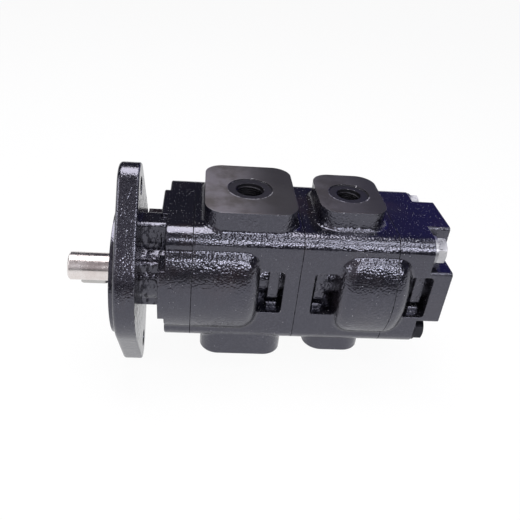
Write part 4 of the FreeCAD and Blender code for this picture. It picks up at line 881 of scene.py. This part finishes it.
def metal_finish(name, light, dark, roughness, rings=0.0006, depth=0.00003, edge=0.0004,
                 marks=None, dark_below=False):
    """Bare or plated metal. Marks are a colour, how many there are, and how many to the metre."""
    material, tree, shader = new_material(name)
    place = position(tree)
    turn = use_group(tree, turned_rings, Pitch=rings)
    worn = use_group(tree, worn_edge, Width=edge, Chip_size=500.0, Chip_amount=0.8)
    patches = fade(tree, noise(tree, place, TONE_PATCHES, detail=4.0, roughness=0.6), *PATCHY)
    colour = mix_colour(tree, mix_number(tree, RINGS_SHARE, patches, turn["Tone"]), dark, light)
    colour = mix_colour(tree, times(tree, worn["Edge"], EDGE_SHINE), colour, light)
    dull = plus(tree, roughness, times(tree, minus(tree, patches, 0.5), PATCH_DULLS))
    shader.inputs["Metallic"].default_value = 1.0
    if marks:
        mark_colour, amount, size = marks
        marked = fade(tree, noise(tree, place, size, detail=4.0, roughness=0.7),
                      1.0 - amount, 1.0 + MARK_BORDER - amount)
        colour = mix_colour(tree, marked, colour, mark_colour)
        dull = plus(tree, dull, times(tree, marked, MARK_DULLS))
        feed(tree, shader.inputs["Metallic"], minus(tree, 1.0, times(tree, marked, MARK_HIDES)))
    if dark_below:
        # Below the pump's middle, bolts and washers turn nearly black.
        lower_dark = fade(tree, split(tree, place)["Z"], *LOWER_DARK_FADES)
        colour = mix_colour(tree, lower_dark, colour, LOWER_DARK_GREY)
    feed(tree, shader.inputs["Base Color"], colour)
    feed(tree, shader.inputs["Roughness"], dull)
    scratched = plus(tree, turn["Height"], times(tree, noise(tree, place, SCRATCHES), SCRATCH_HEIGHT))
    emboss(tree, shader, scratched, depth, Normal=worn["Normal"])
    return material

# %% Put the steels on their solids
RUST = colour_of(0.10, 0.045, 0.03)
GRIME = colour_of(0.06, 0.06, 0.065)

dress(["front_drive_gear"],
      metal_finish("ground_shaft_steel", colour_of(0.82, 0.79, 0.78), colour_of(0.62, 0.55, 0.53),
                   0.26, rings=0.0005, marks=(RUST, 0.32, 240.0)))
dress(["front_driven_gear", "rear_drive_gear", "rear_driven_gear", "spline_coupling"],
      metal_finish("ground_gear_steel", colour_of(0.66, 0.65, 0.64), colour_of(0.48, 0.47, 0.46),
                   0.24))
dress(["drive_key"],
      metal_finish("drawn_key_steel", colour_of(0.58, 0.57, 0.56), colour_of(0.42, 0.41, 0.40),
                   0.35))
dress(["through_bolts"],
      metal_finish("zinc_plated_bolts", colour_of(0.72, 0.72, 0.74), colour_of(0.30, 0.30, 0.32),
                   0.32, rings=0.0012, marks=(GRIME, 0.40, 330.0), dark_below=True))
dress(["bolt_washers"],
      metal_finish("zinc_plated_washers", colour_of(0.50, 0.50, 0.52), colour_of(0.22, 0.22, 0.24),
                   0.38, dark_below=True))
dress(["seal_retaining_ring"],
      metal_finish("spring_ring_steel", colour_of(0.16, 0.16, 0.17), colour_of(0.07, 0.07, 0.075),
                   0.38))
dress(["dowel_pins"],
      metal_finish("ground_dowel_steel", colour_of(0.68, 0.67, 0.66), colour_of(0.52, 0.51, 0.50),
                   0.22))
print("solids with a finish so far:", len(dressed))

# %% Put the bronzes on their solids
dress([f"{casting}_{side}_bush" for casting in CAST_GRAIN for side in ("drive", "driven")],
      metal_finish("bearing_bronze", colour_of(0.62, 0.42, 0.20), colour_of(0.44, 0.28, 0.13),
                   0.32))
dress([f"{end}_section_{face}_plate" for end in ("front", "rear") for face in ("front", "rear")],
      metal_finish("wear_plate_bronze", colour_of(0.66, 0.47, 0.24), colour_of(0.50, 0.34, 0.17),
                   0.28))
print("and with the bronzes:", len(dressed))

# %% [markdown]
# ## Rubber
#
# The shaft's seal and the seals in the three joints are moulded black rubber. Only the lip round
# the shaft can be seen. Rubber could be a plain matt black, but even new rubber has a dusty bloom
# and a slight grain, and both come from noise.

# %% Rubber finishes
BLOOM = 45.0
BLOOMING = (0.4, 0.8)
BLOOM_DULLS = 0.2
RUBBER_ROUGH = 0.5
RUBBER_DEPTH = 0.00005


def rubber_finish(name, dark, pale, grain):
    """Moulded black rubber with a dusty bloom and a slight grain."""
    material, tree, shader = new_material(name)
    place = position(tree)
    bloom = fade(tree, noise(tree, place, BLOOM, detail=4.0, roughness=0.65), *BLOOMING)
    feed(tree, shader.inputs["Base Color"], mix_colour(tree, bloom, dark, pale))
    feed(tree, shader.inputs["Roughness"], plus(tree, RUBBER_ROUGH, times(tree, bloom, BLOOM_DULLS)))
    emboss(tree, shader, noise(tree, place, grain, detail=3.0), RUBBER_DEPTH)
    return material


dress(["shaft_seal"],
      rubber_finish("shaft_seal_rubber", colour_of(0.012, 0.012, 0.013),
                    colour_of(0.035, 0.034, 0.033), 1400.0))
dress([f"{where}_joint_seal" for where in ("front", "middle", "rear")],
      rubber_finish("joint_seal_rubber", colour_of(0.010, 0.010, 0.011),
                    colour_of(0.028, 0.028, 0.030), 1100.0))
print("solids without a finish:", sorted(set(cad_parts) - dressed))

# %% [markdown]
# ## Threads in the ports
#
# Each port is a straight-thread hole for a hose fitting. The CAD hole has the thread's outer
# diameter and a smooth wall, so the ridge is added here. A boolean with a screw would cut the CAD
# solid, which has to stay as it is. A small profile is drawn once at the hole's wall, a Screw
# modifier winds it down the hole, and it sinks slightly into the wall so that no gap shows.

# %% Draw one thread's profile
THREAD_TOP = PORT_FACE - 1.6
THREAD_BOTTOM = PORT_FACE - 17.4
SUNK = 0.06
# The ridge's depth and its foot are shares of the pitch, and the crest is a share of the foot.
RIDGE_DEPTH = 0.54
FOOT_WIDTH = 0.82
CREST_WIDTH = 0.2


def draw_profile(name, radius, pitch):
    """A ridge's outline at the hole's wall: wide at the wall, narrow towards the middle."""
    depth = RIDGE_DEPTH * pitch
    middle = (radius + SUNK - depth / 2) * MILLIMETRE
    start_clean()
    bpy.ops.mesh.primitive_plane_add(size=1.0, location=(middle, 0, THREAD_BOTTOM * MILLIMETRE),
                                     rotation=(math.radians(90), 0, 0))
    piece = bpy.context.object
    piece.name = name
    piece.scale = (depth * MILLIMETRE, FOOT_WIDTH * pitch * MILLIMETRE, 1.0)
    bpy.ops.object.transform_apply(location=True, rotation=True, scale=True)
    bpy.ops.object.mode_set(mode="EDIT")
    bpy.ops.mesh.select_mode(type="VERT")
    bpy.ops.mesh.select_all(action="DESELECT")
    bpy.ops.object.mode_set(mode="OBJECT")
    for vertex in piece.data.vertices:
        vertex.select = vertex.co.x < middle
    bpy.ops.object.mode_set(mode="EDIT")
    bpy.ops.transform.resize(value=(1, 1, CREST_WIDTH))
    bpy.ops.mesh.select_all(action="SELECT")
    bpy.ops.mesh.delete(type="ONLY_FACE")
    bpy.ops.object.mode_set(mode="OBJECT")
    return piece

# %% Wind one thread
STEPS_ROUND = 56
SAME_POINT = 0.000001
SMOOTH_BELOW = math.radians(35)


def wind_thread(name, radius, pitch):
    """A thread ridge round the Z axis, from the thread's bottom to its top."""
    piece = draw_profile(name, radius, pitch)
    winding = piece.modifiers.new("winding", "SCREW")
    winding.axis = "Z"
    winding.angle = math.tau
    winding.screw_offset = pitch * MILLIMETRE
    winding.iterations = int((THREAD_TOP - THREAD_BOTTOM) / pitch)
    winding.steps = STEPS_ROUND
    winding.render_steps = STEPS_ROUND
    bpy.ops.object.modifier_apply(modifier="winding")
    bpy.ops.object.mode_set(mode="EDIT")
    bpy.ops.mesh.select_all(action="SELECT")
    bpy.ops.mesh.remove_doubles(threshold=SAME_POINT)
    bpy.ops.mesh.fill_holes(sides=4)
    bpy.ops.mesh.normals_make_consistent(inside=False)
    bpy.ops.object.mode_set(mode="OBJECT")
    bpy.ops.object.shade_smooth_by_angle(angle=SMOOTH_BELOW)
    return piece

# %% Put a thread in each port
THREAD_PITCHES = {11.11: 1.814, 16.67: 2.117, 9.53: 1.588, 13.49: 2.117}
THREAD_NAMES = {
    ("front_housing", 1): "front_pressure_thread", ("front_housing", -1): "front_suction_thread",
    ("rear_housing", 1): "rear_pressure_thread", ("rear_housing", -1): "rear_suction_thread",
}
# The thread is nearly black, like the hole round it.
thread_iron = metal_finish("dark_thread_iron", colour_of(0.035, 0.034, 0.040),
                           colour_of(0.012, 0.012, 0.014), 0.45, edge=0.0002)
for node_name, ports in PORTS.items():
    for centre_x, centre_y, radius, side in ports:
        thread = wind_thread(THREAD_NAMES[node_name, side], radius, THREAD_PITCHES[radius])
        if side < 0:
            thread.rotation_euler = (math.pi, 0, 0)
        thread.location = (centre_x * MILLIMETRE, centre_y * MILLIMETRE, 0)
        bpy.ops.object.transform_apply(location=True, rotation=True, scale=True)
        thread.data.materials.append(thread_iron)
        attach(thread, "housing")
        print(thread.name, "has", len(thread.data.polygons), "faces")
